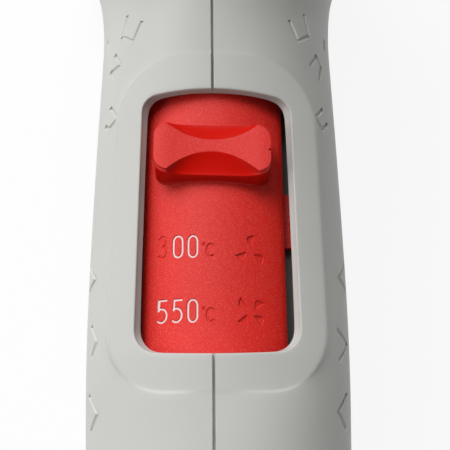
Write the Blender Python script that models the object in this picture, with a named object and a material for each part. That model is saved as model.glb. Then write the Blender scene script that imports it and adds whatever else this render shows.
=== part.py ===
"""Hot air tool: a pistol-shaped heat gun that stands on its rear end, nozzle up.

Frame: origin on the barrel axis in the rear rest plane, +Z along the barrel to the nozzle.
The handle runs out towards -Y and slopes down; its window face looks up and out.
The halves of the housing meet in the plane X = 0. Lengths are written in millimetres.
"""
import math

import bmesh
import bpy
from mathutils import Matrix, Vector

MM = 0.001

# Clearances
FIT = 0.4            # between pieces that seat on each other
SEAM = 0.4           # between the two halves of the housing
SHAFT_FIT = 0.35     # around the motor shaft
TIP_GAP = 1.1        # between the blades and the duct

# Barrel of the housing
WALL = 2.5
BARREL_RADIUS = 35.6
REAR_RADIUS = 30.0       # at the rear edge, where the shoulder starts
REAR_EDGE = 7.3
SHOULDER = 20.0          # length of the rounded shoulder
TAPER = 56.0             # length of the taper to the nose
RIB_THICKNESS = 2.4      # rib that the fan duct rests on
BULKHEAD_THICKNESS = 2.2
BARREL_SEGMENTS = 36

# Handle. Distances s along it start at its root, out from the barrel axis
HANDLE_HEIGHT = 56.0     # where its axis crosses the barrel axis
HANDLE_SLOPE = 8.0       # degrees below the horizontal
HANDLE_ROOT = 13.0
HANDLE_FRONT = 22.0      # from the handle axis to its window face
HANDLE_END = 168.0
HANDLE_WALL = 2.2
FACE_WALL = 1.8          # behind the window face
BUTT_WALL = 3.0
# Distance along the handle, half width, depth to the front, depth to the back,
# powers of the front and of the back superellipse
HANDLE_SECTIONS = (
    (6.0, 28.6, 33.5, 31.5, 2.0, 2.0),
    (14.0, 28.4, 33.0, 31.5, 2.0, 2.0),
    (21.0, 27.6, 32.0, 31.4, 2.0, 2.0),
    (27.0, 26.2, 30.0, 31.2, 2.0, 2.0),
    (32.0, 24.8, 27.6, 30.8, 2.05, 2.05),
    (37.0, 23.4, 25.3, 30.1, 2.1, 2.1),
    (41.0, 22.4, 23.6, 29.1, 2.2, 2.2),
    (46.0, 21.75, 22.4, 27.3, 2.3, 2.3),
    (52.0, 21.55, HANDLE_FRONT, 25.0, 2.4, 2.4),
    (60.5, 21.65, HANDLE_FRONT, 23.4, 2.7, 2.4),
    (75.0, 22.05, HANDLE_FRONT, 23.0, 3.1, 2.4),
    (92.0, 22.4, HANDLE_FRONT, 23.5, 3.2, 2.4),
    (105.0, 22.5, HANDLE_FRONT, 24.0, 3.2, 2.4),
    (123.0, 22.3, HANDLE_FRONT, 24.5, 3.1, 2.4),
    (140.0, 22.0, HANDLE_FRONT, 24.0, 3.0, 2.5),
    (156.0, 21.4, 21.7, 23.0, 2.9, 2.6),
    (168.0, 20.8, 21.2, 22.2, 2.9, 2.7),
)

# Window in the handle and the flatter land round it
WINDOW_TOP = 69.9
WINDOW_BOTTOM = 114.6
WINDOW_HALF_TOP = 12.4
WINDOW_HALF_BOTTOM = 12.9
WINDOW_CORNER_TOP = 4.6
WINDOW_CORNER_BOTTOM = 3.4
WINDOW_ARCH = 0.0117     # drop of the top edge per square of the distance from the middle
WINDOW_DRAFT = 1.0
LIP_ROUND = 0.9
LAND_TOP = 63.5
LAND_BOTTOM = 119.9
LAND_HALF_TOP = 16.1
LAND_HALF_BOTTOM = 17.0
LAND_CORNER = 6.5
LAND_ARCH = 0.009
LAND_RISE = 0.35
LAND_RADIUS = 48.0
LAND_EDGE = 0.8
PATCH_TOP = 60.5
PATCH_BOTTOM = 123.0
PATCH_ANGLE = 36.0       # where the patch round the window meets the handle's sides, degrees

# Slide button: curved plate, thumb bar, driver under it
SLIDE_TRAVEL = 20.8
PLATE_RADIUS = 20.0
PLATE_THICKNESS = 1.7
PLATE_HALF_WIDTH = 11.0
PLATE_LAP = 2.2          # cover past the window's ends at both limits
BAR_MIDDLE = 81.2
BAR_HALF_LENGTH = 9.45
BAR_HALF_WIDTH = 4.25
BAR_CORNER = 2.3
BAR_RISE = 4.1           # ends of the bar above the plate's crown
BAR_DIP = 1.4            # the middle of the bar below its ends
BAR_WAIST = 1.1          # half width of the top face at the middle
BAR_LEDGE = 1.3          # where the finger notches end, above the plate
NOTCH_REACH = 8.0
WING_HALF_WIDTH = 13.6
WING_TOP = 84.0
WING_BOTTOM = 97.7
WING_HEIGHT = 14.2
WING_THICKNESS = 1.6
DRIVER_MIDDLE = 94.0
DRIVER_HALF_LENGTH = 2.0
DRIVER_HALF_WIDTH = 2.5
DRIVER_TIP = 7.6

# Guide tray and the switch under it
TRAY_TOP = 66.0
TRAY_BOTTOM = 142.0
TRAY_FLOOR = 1.6
TRAY_WALL = 1.4
TRAY_WALL_HEIGHT = 14.8
EAR_HALF_LENGTH = 2.5
SWITCH_TOP = 86.0
SWITCH_HALF_WIDTH = 7.5
SWITCH_DEPTH = 16.2
CARRIAGE_HALF_LENGTH = 4.5
CARRIAGE_HALF_WIDTH = 4.0
CARRIAGE_BOTTOM = 6.0

# Motor, fan and duct
MOTOR_RADIUS = 18.2
MOTOR_REAR = 20.0
MOTOR_LENGTH = 48.0
MOTOR_BOSS = 6.0
SHAFT_RADIUS = 1.6
FAN_GAP = 8.0            # from the motor to the fan
FAN_HUB_RADIUS = 9.5
FAN_HUB_LENGTH = 11.0
FAN_BLADES = 7
DUCT_GAP = 5.0           # between the duct and the housing, where the rib fills it
DUCT_WALL = 1.9
DUCT_LAP = 10.0          # of the duct's mount over the motor
DUCT_LENGTH = 36.0       # from its rear to where it narrows
THROAT_RUN = 12.0        # length over which it narrows
THROAT_LENGTH = 6.0

# Heater and nozzle
TUBE_RADIUS = 17.5
TUBE_WALL = 0.8
TUBE_STEP = 32.0         # from the heater's end to the tube's mouth
SLEEVE_WALL = 0.7
SLEEVE_STEP = 10.0       # from the heater's end to the sleeve's
CORE_THICKNESS = 1.2
WIRE_RADIUS = 0.8
COIL_LOOPS = 7
COIL_PITCH = 10.0
COIL_LEAD = 12.6         # from the bulkhead to the first loop
COIL_TAIL = 8.0          # from the last loop to the top of the cross
NOSE_STEP = 10.5         # from the tube out to the nose guard's side
NOSE_LENGTH = 38.6       # of the housing past the bulkhead

# Rear grille and rubber ring
RING_WALL = 3.5
RING_HEIGHT = 7.0
GRILLE_THICKNESS = 3.0
GRILLE_HUB = 9.0

# Screws through the housing: distance from the axes of each, as (y, z)
SCREW_RADIUS = 1.35
SCREW_HEAD = 2.9
SCREW_HEAD_HEIGHT = 2.2
SCREW_SEAT = 10.0
SCREW_REACH = 9.5
BOSS_RADIUS = 3.8
COUNTERBORE_WALL = 1.2

# Cord inlet in the butt, and the clamp inside it
BUSH_BORE = 4.6
BUSH_WAIST = 6.6
BUSH_FLANGE = 8.6
CLAMP_START = 143.5
CLAMP_WIDTH = 6.0
CLAMP_SCREW = 8.2
TERMINAL_LOW = -1.0

BARREL_TURN = Matrix.Rotation(math.pi / BARREL_SEGMENTS, 4, "Z")     # a facet on the seam
SLOPE = math.radians(HANDLE_SLOPE)
HANDLE_FRAME = Matrix.Translation((0.0, 0.0, HANDLE_HEIGHT)) @ Matrix.Rotation(SLOPE, 4, "X")
HANDLE_FRAME = HANDLE_FRAME @ Matrix.Translation((0.0, -HANDLE_ROOT, 0.0))
PLATE_CROWN = HANDLE_FRONT - FACE_WALL - FIT
TRAY_TOP_FACE = WING_HEIGHT - WING_THICKNESS - FIT
TRAY_UNDERSIDE = TRAY_TOP_FACE - TRAY_FLOOR
SWITCH_FACE = TRAY_UNDERSIDE - FIT
MOTOR_FRONT = MOTOR_REAR + MOTOR_LENGTH
FAN_REAR = MOTOR_FRONT + FAN_GAP
SHAFT_FRONT = FAN_REAR + FAN_HUB_LENGTH + 4.0
DUCT_RADIUS = BARREL_RADIUS - WALL - DUCT_GAP
DUCT_REAR = MOTOR_FRONT - DUCT_LAP
RIB_REAR = DUCT_REAR + 5.8
THROAT_RADIUS = TUBE_RADIUS - 1.6
THROAT_REAR = DUCT_REAR + DUCT_LENGTH + THROAT_RUN
BULKHEAD = THROAT_REAR + THROAT_LENGTH + 1.4
FLANGE_RADIUS = TUBE_RADIUS + 6.5
NOSE_RADIUS = TUBE_RADIUS + NOSE_STEP
SHELL_FRONT = BULKHEAD + NOSE_LENGTH
TAPER_START = SHELL_FRONT - TAPER
COIL_RADIUS = TUBE_RADIUS - 3.6
COIL_START = BULKHEAD + COIL_LEAD
CORE_END = COIL_START + COIL_LOOPS * COIL_PITCH + COIL_TAIL
SLEEVE_END = CORE_END + SLEEVE_STEP
TUBE_END = CORE_END + TUBE_STEP
RING_OUTER = REAR_RADIUS + 0.2
RING_INNER = RING_OUTER - RING_WALL


# Colours and finishes of the real pieces: colour, roughness, metallic
FINISHES = {
    "grey_plastic": ((0.62, 0.62, 0.59), 0.5, 0.0),
    "red_plastic": ((0.72, 0.035, 0.02), 0.45, 0.0),
    "dark_plastic": ((0.035, 0.035, 0.038), 0.5, 0.0),
    "black_rubber": ((0.02, 0.02, 0.02), 0.75, 0.0),
    "nozzle_steel": ((0.56, 0.55, 0.53), 0.3, 1.0),
    "motor_steel": ((0.45, 0.45, 0.46), 0.35, 1.0),
    "white_plastic": ((0.78, 0.77, 0.72), 0.5, 0.0),
    "mica": ((0.55, 0.47, 0.33), 0.45, 0.0),
    "heating_wire": ((0.32, 0.28, 0.26), 0.4, 1.0),
    "board_green": ((0.03, 0.16, 0.07), 0.5, 0.0),
    "screw_steel": ((0.38, 0.38, 0.4), 0.35, 1.0),
}


def finish(name):
    """The material of that name, made the first time it is asked for."""
    material = bpy.data.materials.get(name)
    if material is None:
        colour, roughness, metallic = FINISHES[name]
        material = bpy.data.materials.new(name)
        material.use_nodes = True
        shader = material.node_tree.nodes["Principled BSDF"]
        shader.inputs["Base Color"].default_value = (*colour, 1.0)
        shader.inputs["Roughness"].default_value = roughness
        shader.inputs["Metallic"].default_value = metallic
        material.diffuse_color = (*colour, 1.0)
    return material


# Mesh helpers: every one takes millimetres

def solid(name, points, faces, place=None):
    """One closed mesh object from points and faces, its faces turned outwards."""
    if place is not None:
        points = [place @ Vector(point) for point in points]
    mesh = bpy.data.meshes.new(name)
    mesh.from_pydata([Vector(point) * MM for point in points], [], faces)
    work = bmesh.new()
    work.from_mesh(mesh)
    bmesh.ops.recalc_face_normals(work, faces=work.faces)
    work.to_mesh(mesh)
    work.free()
    thing = bpy.data.objects.new(name, mesh)
    bpy.context.scene.collection.objects.link(thing)
    return thing


def turned(name, profile, segments, hollow=False, place=None):
    """Turn a profile of (radius, height) round Z. A hollow profile is a closed loop."""
    points = []
    rings = []
    for radius, height in profile:
        first = len(points)
        if radius < 1e-6:
            points.append((0.0, 0.0, height))
            rings.append([first])
            continue
        for step in range(segments):
            angle = 2.0 * math.pi * step / segments
            points.append((radius * math.cos(angle), radius * math.sin(angle), height))
        rings.append(list(range(first, first + segments)))
    followers = rings[1:] + rings[:1] if hollow else rings[1:]
    faces = []
    for low, high in zip(rings, followers):
        for step in range(segments):
            after = (step + 1) % segments
            corners = [low[step % len(low)], low[after % len(low)]]
            corners += [high[after % len(high)], high[step % len(high)]]
            face = []
            for corner in corners:
                if corner not in face:
                    face.append(corner)
            if len(face) > 2:
                faces.append(face)
    if not hollow:
        for ring in (rings[0], rings[-1]):
            if len(ring) > 1:
                faces.append(ring)
    return solid(name, points, faces, place)


def lofted(name, rings, place=None):
    """Skin rings of equal counts one after another and cap both ends."""
    count = len(rings[0])
    points = [point for ring in rings for point in ring]
    faces = []
    for index in range(len(rings) - 1):
        for step in range(count):
            after = (step + 1) % count
            low = index * count
            high = low + count
            faces.append([low + step, low + after, high + after, high + step])
    faces.append(list(range(count)))
    faces.append(list(range((len(rings) - 1) * count, len(rings) * count)))
    return solid(name, points, faces, place)


def extruded(name, outline, low, high, place=None):
    """A flat outline in X and Y, raised from low to high along Z."""
    rings = [[(x, y, level) for x, y in outline] for level in (low, high)]
    return lofted(name, rings, place)


def block(name, low, high, place=None):
    """A box between two corners."""
    outline = [(low[0], low[1]), (high[0], low[1]), (high[0], high[1]), (low[0], high[1])]
    return extruded(name, outline, low[2], high[2], place)


def handle_block(name, x_range, s_range, h_range):
    """A box in the handle's frame: across, along from the barrel, up to the window face."""
    low = (x_range[0], -s_range[1], h_range[0])
    high = (x_range[1], -s_range[0], h_range[1])
    return block(name, low, high)


def round_bar(name, radius, start, end, segments=16):
    """A plain cylinder between two points."""
    axis = Vector(end) - Vector(start)
    turn = axis.to_track_quat("Z", "Y").to_matrix().to_4x4()
    place = Matrix.Translation(start) @ turn
    profile = [(0.0, 0.0), (radius, 0.0), (radius, axis.length), (0.0, axis.length)]
    return turned(name, profile, segments, place=place)


def stepped_bar(name, steps, middle, segments=10):
    """A cylinder along X whose radius changes: steps are (x, radius), middle is (y, z)."""
    place = Matrix.Translation((0.0, middle[0], middle[1])) @ Matrix.Rotation(math.pi / 2, 4, "Y")
    profile = [(0.0, steps[0][0])] + [(radius, x) for x, radius in steps] + [(0.0, steps[-1][0])]
    return turned(name, profile, segments, place=place)


def gather(things):
    """Join separate cutters into one object, so that one cut does them all."""
    work = bmesh.new()
    for thing in things:
        work.from_mesh(thing.data)
    first = things[0]
    mesh = bpy.data.meshes.new(first.name)
    work.to_mesh(mesh)
    work.free()
    for thing in things[1:]:
        bpy.data.objects.remove(thing)
    first.data = mesh
    return first


def combine(target, tool, operation):
    """Apply an exact boolean to target and remove the tool."""
    change = target.modifiers.new("change", "BOOLEAN")
    change.operation = operation
    change.solver = "EXACT"
    change.object = tool
    bpy.context.view_layer.update()
    depsgraph = bpy.context.evaluated_depsgraph_get()
    mesh = bpy.data.meshes.new_from_object(target.evaluated_get(depsgraph))
    target.modifiers.clear()
    target.data = mesh
    bpy.data.objects.remove(tool)
    return target


def cut(target, tool):
    return combine(target, tool, "DIFFERENCE")


def add(target, tool):
    return combine(target, tool, "UNION")


def copy_of(thing, name):
    twin = bpy.data.objects.new(name, thing.data.copy())
    bpy.context.scene.collection.objects.link(twin)
    return twin


def soften(thing, width, segments=1):
    """Round the sharp edges with a live bevel."""
    bevel = thing.modifiers.new("edge", "BEVEL")
    bevel.width = width * MM
    bevel.segments = segments
    bevel.limit_method = "ANGLE"
    bevel.angle_limit = math.radians(40.0)
    return thing


def complete(thing, name, material, frame=None):
    """Name a finished piece, give it its material and hang it on its frame."""
    thing.name = name
    thing.data.name = name
    thing.data.materials.clear()
    thing.data.materials.append(finish(material))
    if thing.type == "MESH":
        thing.data.shade_smooth()
        thing.data.set_sharp_from_angle(angle=math.radians(35.0))
    if frame is not None:
        thing.parent = frame
    return thing


# Curves that the shapes follow

def through(stations, place, column):
    """Smooth value of one column of a station table at a place along it."""
    if place <= stations[0][0]:
        return stations[0][column]
    if place >= stations[-1][0]:
        return stations[-1][column]
    index = 0
    while stations[index + 1][0] < place:
        index += 1
    last = len(stations) - 1

    def slope(at):
        before = stations[max(at - 1, 0)]
        after = stations[min(at + 1, last)]
        return (after[column] - before[column]) / (after[0] - before[0])

    low = stations[index]
    high = stations[index + 1]
    span = high[0] - low[0]
    t = (place - low[0]) / span
    value = (2 * t ** 3 - 3 * t ** 2 + 1) * low[column] + (3 * t ** 2 - 2 * t ** 3) * high[column]
    value += (t ** 3 - 2 * t ** 2 + t) * span * slope(index)
    value += (t ** 3 - t ** 2) * span * slope(index + 1)
    return value


def barrel_radius(height):
    """Outer radius of the barrel: rounded shoulder, straight, then an easy taper to the nose."""
    if height <= REAR_EDGE + SHOULDER:
        left = 1.0 - max(height - REAR_EDGE, 0.0) / SHOULDER
        return REAR_RADIUS + (BARREL_RADIUS - REAR_RADIUS) * math.sqrt(1.0 - left * left)
    if height <= TAPER_START:
        return BARREL_RADIUS
    t = (height - TAPER_START) / TAPER
    ease = 1.25 * t * t - 0.25 * t ** 4
    return BARREL_RADIUS - (BARREL_RADIUS - NOSE_RADIUS) * (0.18 * t + 0.82 * ease)


def handle_point(s, angle, inset=0.0, face_inset=None):
    """A point of the handle's section, in the handle's frame."""
    front_inset = inset if face_inset is None else face_inset
    half_width = through(HANDLE_SECTIONS, s, 1) - inset
    across = math.cos(angle)
    up = math.sin(angle)
    depth = through(HANDLE_SECTIONS, s, 2) - front_inset
    power = through(HANDLE_SECTIONS, s, 4)
    if up < 0.0:
        depth = through(HANDLE_SECTIONS, s, 3) - inset
        power = through(HANDLE_SECTIONS, s, 5)
    x = half_width * math.copysign(abs(across) ** (2.0 / power), across)
    h = depth * math.copysign(abs(up) ** (2.0 / power), up)
    return (x, -s, h)


def face_height(x, s):
    """Height of the handle's plain front face over its axis."""
    half_width = through(HANDLE_SECTIONS, s, 1)
    front = through(HANDLE_SECTIONS, s, 2)
    power = through(HANDLE_SECTIONS, s, 4)
    share = min(abs(x) / half_width, 1.0)
    return front * (1.0 - share ** power) ** (1.0 / power)


def land_height(x):
    """Height of the flatter land round the window."""
    drop = LAND_RADIUS - math.sqrt(LAND_RADIUS ** 2 - x * x)
    return HANDLE_FRONT + LAND_RISE - drop


def framed_distance(x, s, top, bottom, half_top, half_bottom, corner_top, corner_bottom, arch):
    """Distance from a rounded frame with an arched top, negative inside."""
    middle = 0.5 * (top + bottom)
    share = min(max((s - top) / (bottom - top), 0.0), 1.0)
    half_width = half_top + (half_bottom - half_top) * share
    if s < middle:
        corner = corner_top
        rise = middle - s - (middle - top - arch * x * x)
    else:
        corner = corner_bottom
        rise = s - bottom + 0.3 * arch * x * x
    out = abs(x) - half_width + corner
    over = rise + corner
    inside = min(max(out, over), 0.0)
    return inside + math.hypot(max(out, 0.0), max(over, 0.0)) - corner


def window_distance(x, s):
    return framed_distance(x, s, WINDOW_TOP, WINDOW_BOTTOM, WINDOW_HALF_TOP, WINDOW_HALF_BOTTOM,
                           WINDOW_CORNER_TOP, WINDOW_CORNER_BOTTOM, WINDOW_ARCH)


def land_distance(x, s):
    return framed_distance(x, s, LAND_TOP, LAND_BOTTOM, LAND_HALF_TOP, LAND_HALF_BOTTOM,
                           LAND_CORNER, LAND_CORNER, LAND_ARCH)


def on_ray(distance, level, end_x, end_s, middle):
    """The point of a ray from the window's middle where a distance reaches a level."""
    low = 0.0
    high = 1.0
    for _ in range(40):
        t = 0.5 * (low + high)
        if distance(t * end_x, middle + t * (end_s - middle)) < level:
            low = t
        else:
            high = t
    return low * end_x, middle + low * (end_s - middle)


# Housing

def section_angles(front_steps, side_steps, back_steps):
    """Angles round a section: side, front between the patch's edges, side, back."""
    edge = math.radians(PATCH_ANGLE)
    angles = [edge * step / side_steps for step in range(side_steps)]
    angles += [edge + (math.pi - 2.0 * edge) * step / front_steps for step in range(front_steps)]
    angles += [math.pi - edge + edge * step / side_steps for step in range(side_steps)]
    angles += [math.pi + math.pi * step / back_steps for step in range(back_steps)]
    return angles


def handle_body():
    """The handle's outside with the window's land, lip and pocket worked into one skin."""
    front_steps = 20
    side_steps = 3
    angles = section_angles(front_steps, side_steps, 12)
    count = len(angles)
    patch_bands = 4
    fine_steps = 4
    band = (PATCH_BOTTOM - PATCH_TOP) / patch_bands
    rows = [(s, 0.0) for s in (6.0, 14.0, 21.0, 27.0, 32.0, 37.0, 41.0, 46.0, 52.0)]
    first_row = len(rows)
    rows += [(PATCH_TOP + band * step, 0.0) for step in range(patch_bands + 1)]
    last_row = len(rows) - 1
    rows += [(134.0, 0.0), (146.0, 0.0), (157.0, 0.0), (HANDLE_END - 4.0, 0.0)]
    rows += [(HANDLE_END - 1.6, 0.9), (HANDLE_END - 0.3, 2.4), (HANDLE_END, 3.6)]
    points = []
    grid = []
    for s, inset in rows:
        grid.append(list(range(len(points), len(points) + count)))
        points += [handle_point(s, angle, inset) for angle in angles]
    first_column = side_steps
    last_column = side_steps + front_steps
    # The patch's long edges carry extra points between the rows
    edges = {}
    for column in (first_column, last_column):
        for row in range(first_row, last_row):
            fine = [grid[row][column]]
            for step in range(1, fine_steps):
                fine.append(len(points))
                points.append(handle_point(rows[row][0] + band * step / fine_steps, angles[column]))
            edges[row, column] = fine
    faces = []
    for row in range(len(rows) - 1):
        for column in range(count):
            along_patch = first_row <= row < last_row
            if along_patch and first_column <= column < last_column:
                continue
            after = (column + 1) % count
            up_side = [grid[row][after]]
            down_side = [grid[row][column]]
            if along_patch and after == first_column:
                up_side = edges[row, after]
            if along_patch and column == last_column:
                down_side = edges[row, column]
            faces.append(up_side + [grid[row + 1][after], grid[row + 1][column]] + down_side[::-1])
    faces.append(grid[0])
    faces.append(grid[-1])

    border = [grid[first_row][column] for column in range(first_column, last_column)]
    for row in range(first_row, last_row):
        border += edges[row, last_column]
    border += [grid[last_row][column] for column in range(last_column, first_column, -1)]
    border.append(grid[last_row][first_column])
    for row in range(last_row - 1, first_row - 1, -1):
        border += edges[row, first_column][:0:-1]
        if row > first_row:
            border.append(grid[row][first_column])
    # Rings from the border to the pocket's floor: distance function, level, height
    rings = (
        (land_distance, LAND_EDGE, face_height),
        (land_distance, 0.0, lambda x, s: land_height(x)),
        (window_distance, LIP_ROUND, lambda x, s: land_height(x)),
        (window_distance, 0.0, lambda x, s: land_height(x) - 0.3),
        (window_distance, -WINDOW_DRAFT, lambda x, s: land_height(x) - 2.7),
        (window_distance, -WINDOW_DRAFT, lambda x, s: HANDLE_FRONT - 8.0),
    )
    middle = 0.5 * (WINDOW_TOP + WINDOW_BOTTOM)
    outer = border
    for distance, level, height in rings:
        ring = []
        for corner in border:
            end_x, end_y, _ = points[corner]
            x, s = on_ray(distance, level, end_x, -end_y, middle)
            ring.append(len(points))
            points.append((x, -s, height(x, s)))
        for step in range(len(border)):
            after = (step + 1) % len(border)
            faces.append([outer[step], outer[after], ring[after], ring[step]])
        outer = ring
    faces.append(outer)
    return solid("handle_body", points, faces, HANDLE_FRAME)


def room_angles():
    return section_angles(10, 2, 10)


def room_half_width(s, h):
    """Half the width of the room inside the handle at a height over its axis."""
    ring = [handle_point(s, angle, HANDLE_WALL, FACE_WALL) for angle in room_angles()]
    width = 0.0
    for (x_low, _, h_low), (x_high, _, h_high) in zip(ring, ring[1:]):
        if x_high > 0.0 and h_low <= h <= h_high:
            width = x_low + (x_high - x_low) * (h - h_low) / (h_high - h_low)
    return width


def handle_cavity():
    """The room inside the handle."""
    angles = room_angles()
    rows = [(s, 0.0) for s in (6.0, 14.0, 21.0, 27.0, 32.0, 37.0, 41.0, 46.0, 54.0, 65.0)]
    rows += [(s, 0.0) for s in (92.0, 118.0, 142.0)]
    inner_end = HANDLE_END - BUTT_WALL
    rows += [(inner_end - 2.5, 0.3), (inner_end, 2.2)]
    rings = []
    for s, extra in rows:
        rings.append([handle_point(s, angle, HANDLE_WALL + extra, FACE_WALL + extra)
                      for angle in angles])
    return lofted("handle_cavity", rings, HANDLE_FRAME)


def shoulder_heights():
    """Heights of the rings that round the rear shoulder."""
    steps = 5
    return [REAR_EDGE + SHOULDER * (1.0 - math.cos(0.5 * math.pi * step / steps))
            for step in range(steps + 1)]


def barrel_body():
    """The barrel's outside: rounded rear shoulder, straight motor section, taper to the nose."""
    profile = [(0.0, REAR_EDGE)]
    for height in shoulder_heights():
        profile.append((barrel_radius(height), height))
    taper_steps = 6
    for step in range(taper_steps + 1):
        height = TAPER_START + TAPER * step / taper_steps
        profile.append((barrel_radius(height), height))
    profile.append((0.0, SHELL_FRONT))
    return turned("barrel_body", profile, BARREL_SEGMENTS, place=BARREL_TURN)


def barrel_cavity():
    """The room inside the barrel, with its ribs, bulkhead and grooves left standing."""
    inside = BARREL_RADIUS - WALL
    rib = DUCT_RADIUS + FIT
    groove = RING_INNER + 1.8
    nose_lip = NOSE_RADIUS - WALL
    groove_low = REAR_EDGE + 1.4
    groove_high = groove_low + 2.0
    profile = [(0.0, -1.0), (RING_INNER, -1.0), (RING_INNER, groove_low), (groove, groove_low)]
    profile += [(groove, groove_high), (barrel_radius(groove_high) - WALL, groove_high)]
    for height in shoulder_heights():
        if height > groove_high + 1.0:
            profile.append((barrel_radius(height) - WALL, height))
    rib_end = RIB_REAR + RIB_THICKNESS
    profile += [(inside, RIB_REAR), (rib, RIB_REAR), (rib, rib_end), (inside, rib_end)]
    tube_hole = TUBE_RADIUS + FIT
    bulkhead_end = BULKHEAD + BULKHEAD_THICKNESS
    start = TAPER_START + 8.0
    profile.append((barrel_radius(start) - WALL, start))
    profile += [(barrel_radius(BULKHEAD) - WALL, BULKHEAD), (tube_hole, BULKHEAD)]
    profile += [(tube_hole, bulkhead_end), (barrel_radius(bulkhead_end) - WALL, bulkhead_end)]
    middle = SHELL_FRONT - 22.0
    profile.append((barrel_radius(middle) - WALL, middle))
    lip_low = SHELL_FRONT - 9.3
    lip_high = SHELL_FRONT - 7.1
    profile += [(nose_lip + 1.6, lip_low), (nose_lip + 1.6, lip_high), (nose_lip, lip_high)]
    profile += [(nose_lip, SHELL_FRONT + 1.0), (0.0, SHELL_FRONT + 1.0)]
    return turned("barrel_cavity", profile, BARREL_SEGMENTS, place=BARREL_TURN)


def screw_middles():
    """Places of the seven housing screws as (y, z)."""
    middles = []
    for s, h in ((57.0, -13.0), (128.0, -15.0), (156.0, 13.5)):
        point = HANDLE_FRAME @ Vector((0.0, -s, h))
        middles.append((point.y, point.z))
    middles.append((BARREL_RADIUS - 7.4, MOTOR_REAR + 10.0))
    middles.append((5.4 - BARREL_RADIUS, REAR_EDGE + 8.2))
    middles += [(side * (NOSE_RADIUS - 4.0), BULKHEAD + 10.6) for side in (1.0, -1.0)]
    return middles


def side_vents():
    """Air slots on both sides of the barrel's rear."""
    outline = []
    half_width = 1.2
    low = REAR_EDGE + 9.2
    high = low + 27.5
    cap = 0.9
    for x, z in ((-half_width, low + cap), (-half_width + cap, low), (half_width - cap, low),
                 (half_width, low + cap), (half_width, high - cap), (half_width - cap, high),
                 (-half_width + cap, high), (-half_width, high - cap)):
        outline.append((x, z))
    slots = []
    for side in (0.0, math.pi):
        for step in range(-2, 3):
            turn = side + math.radians(13.5) * step
            place = Matrix.Rotation(turn, 4, "Z") @ Matrix.Rotation(math.pi / 2, 4, "Y")
            place = place @ Matrix.Rotation(math.pi / 2, 4, "Z")
            slots.append(extruded("vent", outline, BARREL_RADIUS - 8.0, BARREL_RADIUS + 4.0, place))
    return slots


def housing():
    """Both halves of the housing."""
    room = add(barrel_cavity(), handle_cavity())
    head_wall = SCREW_HEAD + 0.5 + COUNTERBORE_WALL
    bosses = []
    for middle in screw_middles():
        steps = ((-60.0, BOSS_RADIUS), (0.0, BOSS_RADIUS), (0.0, head_wall), (60.0, head_wall))
        bosses.append(stepped_bar("boss", steps, middle))
    room = cut(room, gather(bosses))
    seat = [(SEAM, 4.6), (SEAM, 11.0), (25.0, 11.0), (25.0, -11.0), (SEAM, -11.0), (SEAM, -4.6)]
    seat += [(4.2, -2.2), (4.2, 2.2)]
    rings = [[(x, -s, h) for x, h in seat] for s in (CLAMP_START, CLAMP_START + CLAMP_WIDTH)]
    room = cut(room, lofted("cord_seat", rings, HANDLE_FRAME))

    shell = add(barrel_body(), handle_body())
    shell = cut(shell, room)

    holes = []
    for middle in screw_middles():
        hole = SCREW_RADIUS + 0.3
        head = SCREW_HEAD + 0.5
        steps = ((-SCREW_REACH - 1.0, hole), (SCREW_SEAT, hole), (SCREW_SEAT, head), (60.0, head))
        holes.append(stepped_bar("hole", steps, middle))
    for h in (-CLAMP_SCREW, CLAMP_SCREW):
        middle = -(CLAMP_START + 0.5 * CLAMP_WIDTH)
        start = HANDLE_FRAME @ Vector((0.0, middle, h))
        end = HANDLE_FRAME @ Vector((8.0, middle, h))
        holes.append(round_bar("pilot", 1.5, start, end, 10))
    holes += side_vents()
    start = HANDLE_FRAME @ Vector((0.0, -(HANDLE_END - 6.0), 0.0))
    end = HANDLE_FRAME @ Vector((0.0, -(HANDLE_END + 2.0), 0.0))
    holes.append(round_bar("inlet", BUSH_WAIST + FIT, start, end, 18))
    shell = cut(shell, gather(holes))

    reach = 300.0
    left = cut(copy_of(shell, "left"), block("half", (-SEAM / 2, -reach, -reach),
                                             (reach, reach, reach)))
    right = cut(shell, block("half", (-reach, -reach, -reach), (SEAM / 2, reach, reach)))
    complete(left, "left_shell", "grey_plastic")
    complete(right, "right_shell", "grey_plastic")


def housing_screws():
    """Seven screws, heads on the right side."""
    for number, middle in enumerate(screw_middles(), 1):
        steps = ((-SCREW_REACH, SCREW_RADIUS), (SCREW_SEAT + FIT, SCREW_RADIUS),
                 (SCREW_SEAT + FIT, SCREW_HEAD),
                 (SCREW_SEAT + FIT + 0.7 * SCREW_HEAD_HEIGHT, SCREW_HEAD),
                 (SCREW_SEAT + FIT + SCREW_HEAD_HEIGHT, 0.6 * SCREW_HEAD))
        screw = stepped_bar("screw", steps, middle, 8)
        complete(screw, f"shell_screw_{number}", "screw_steel")


# Rear end

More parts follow.
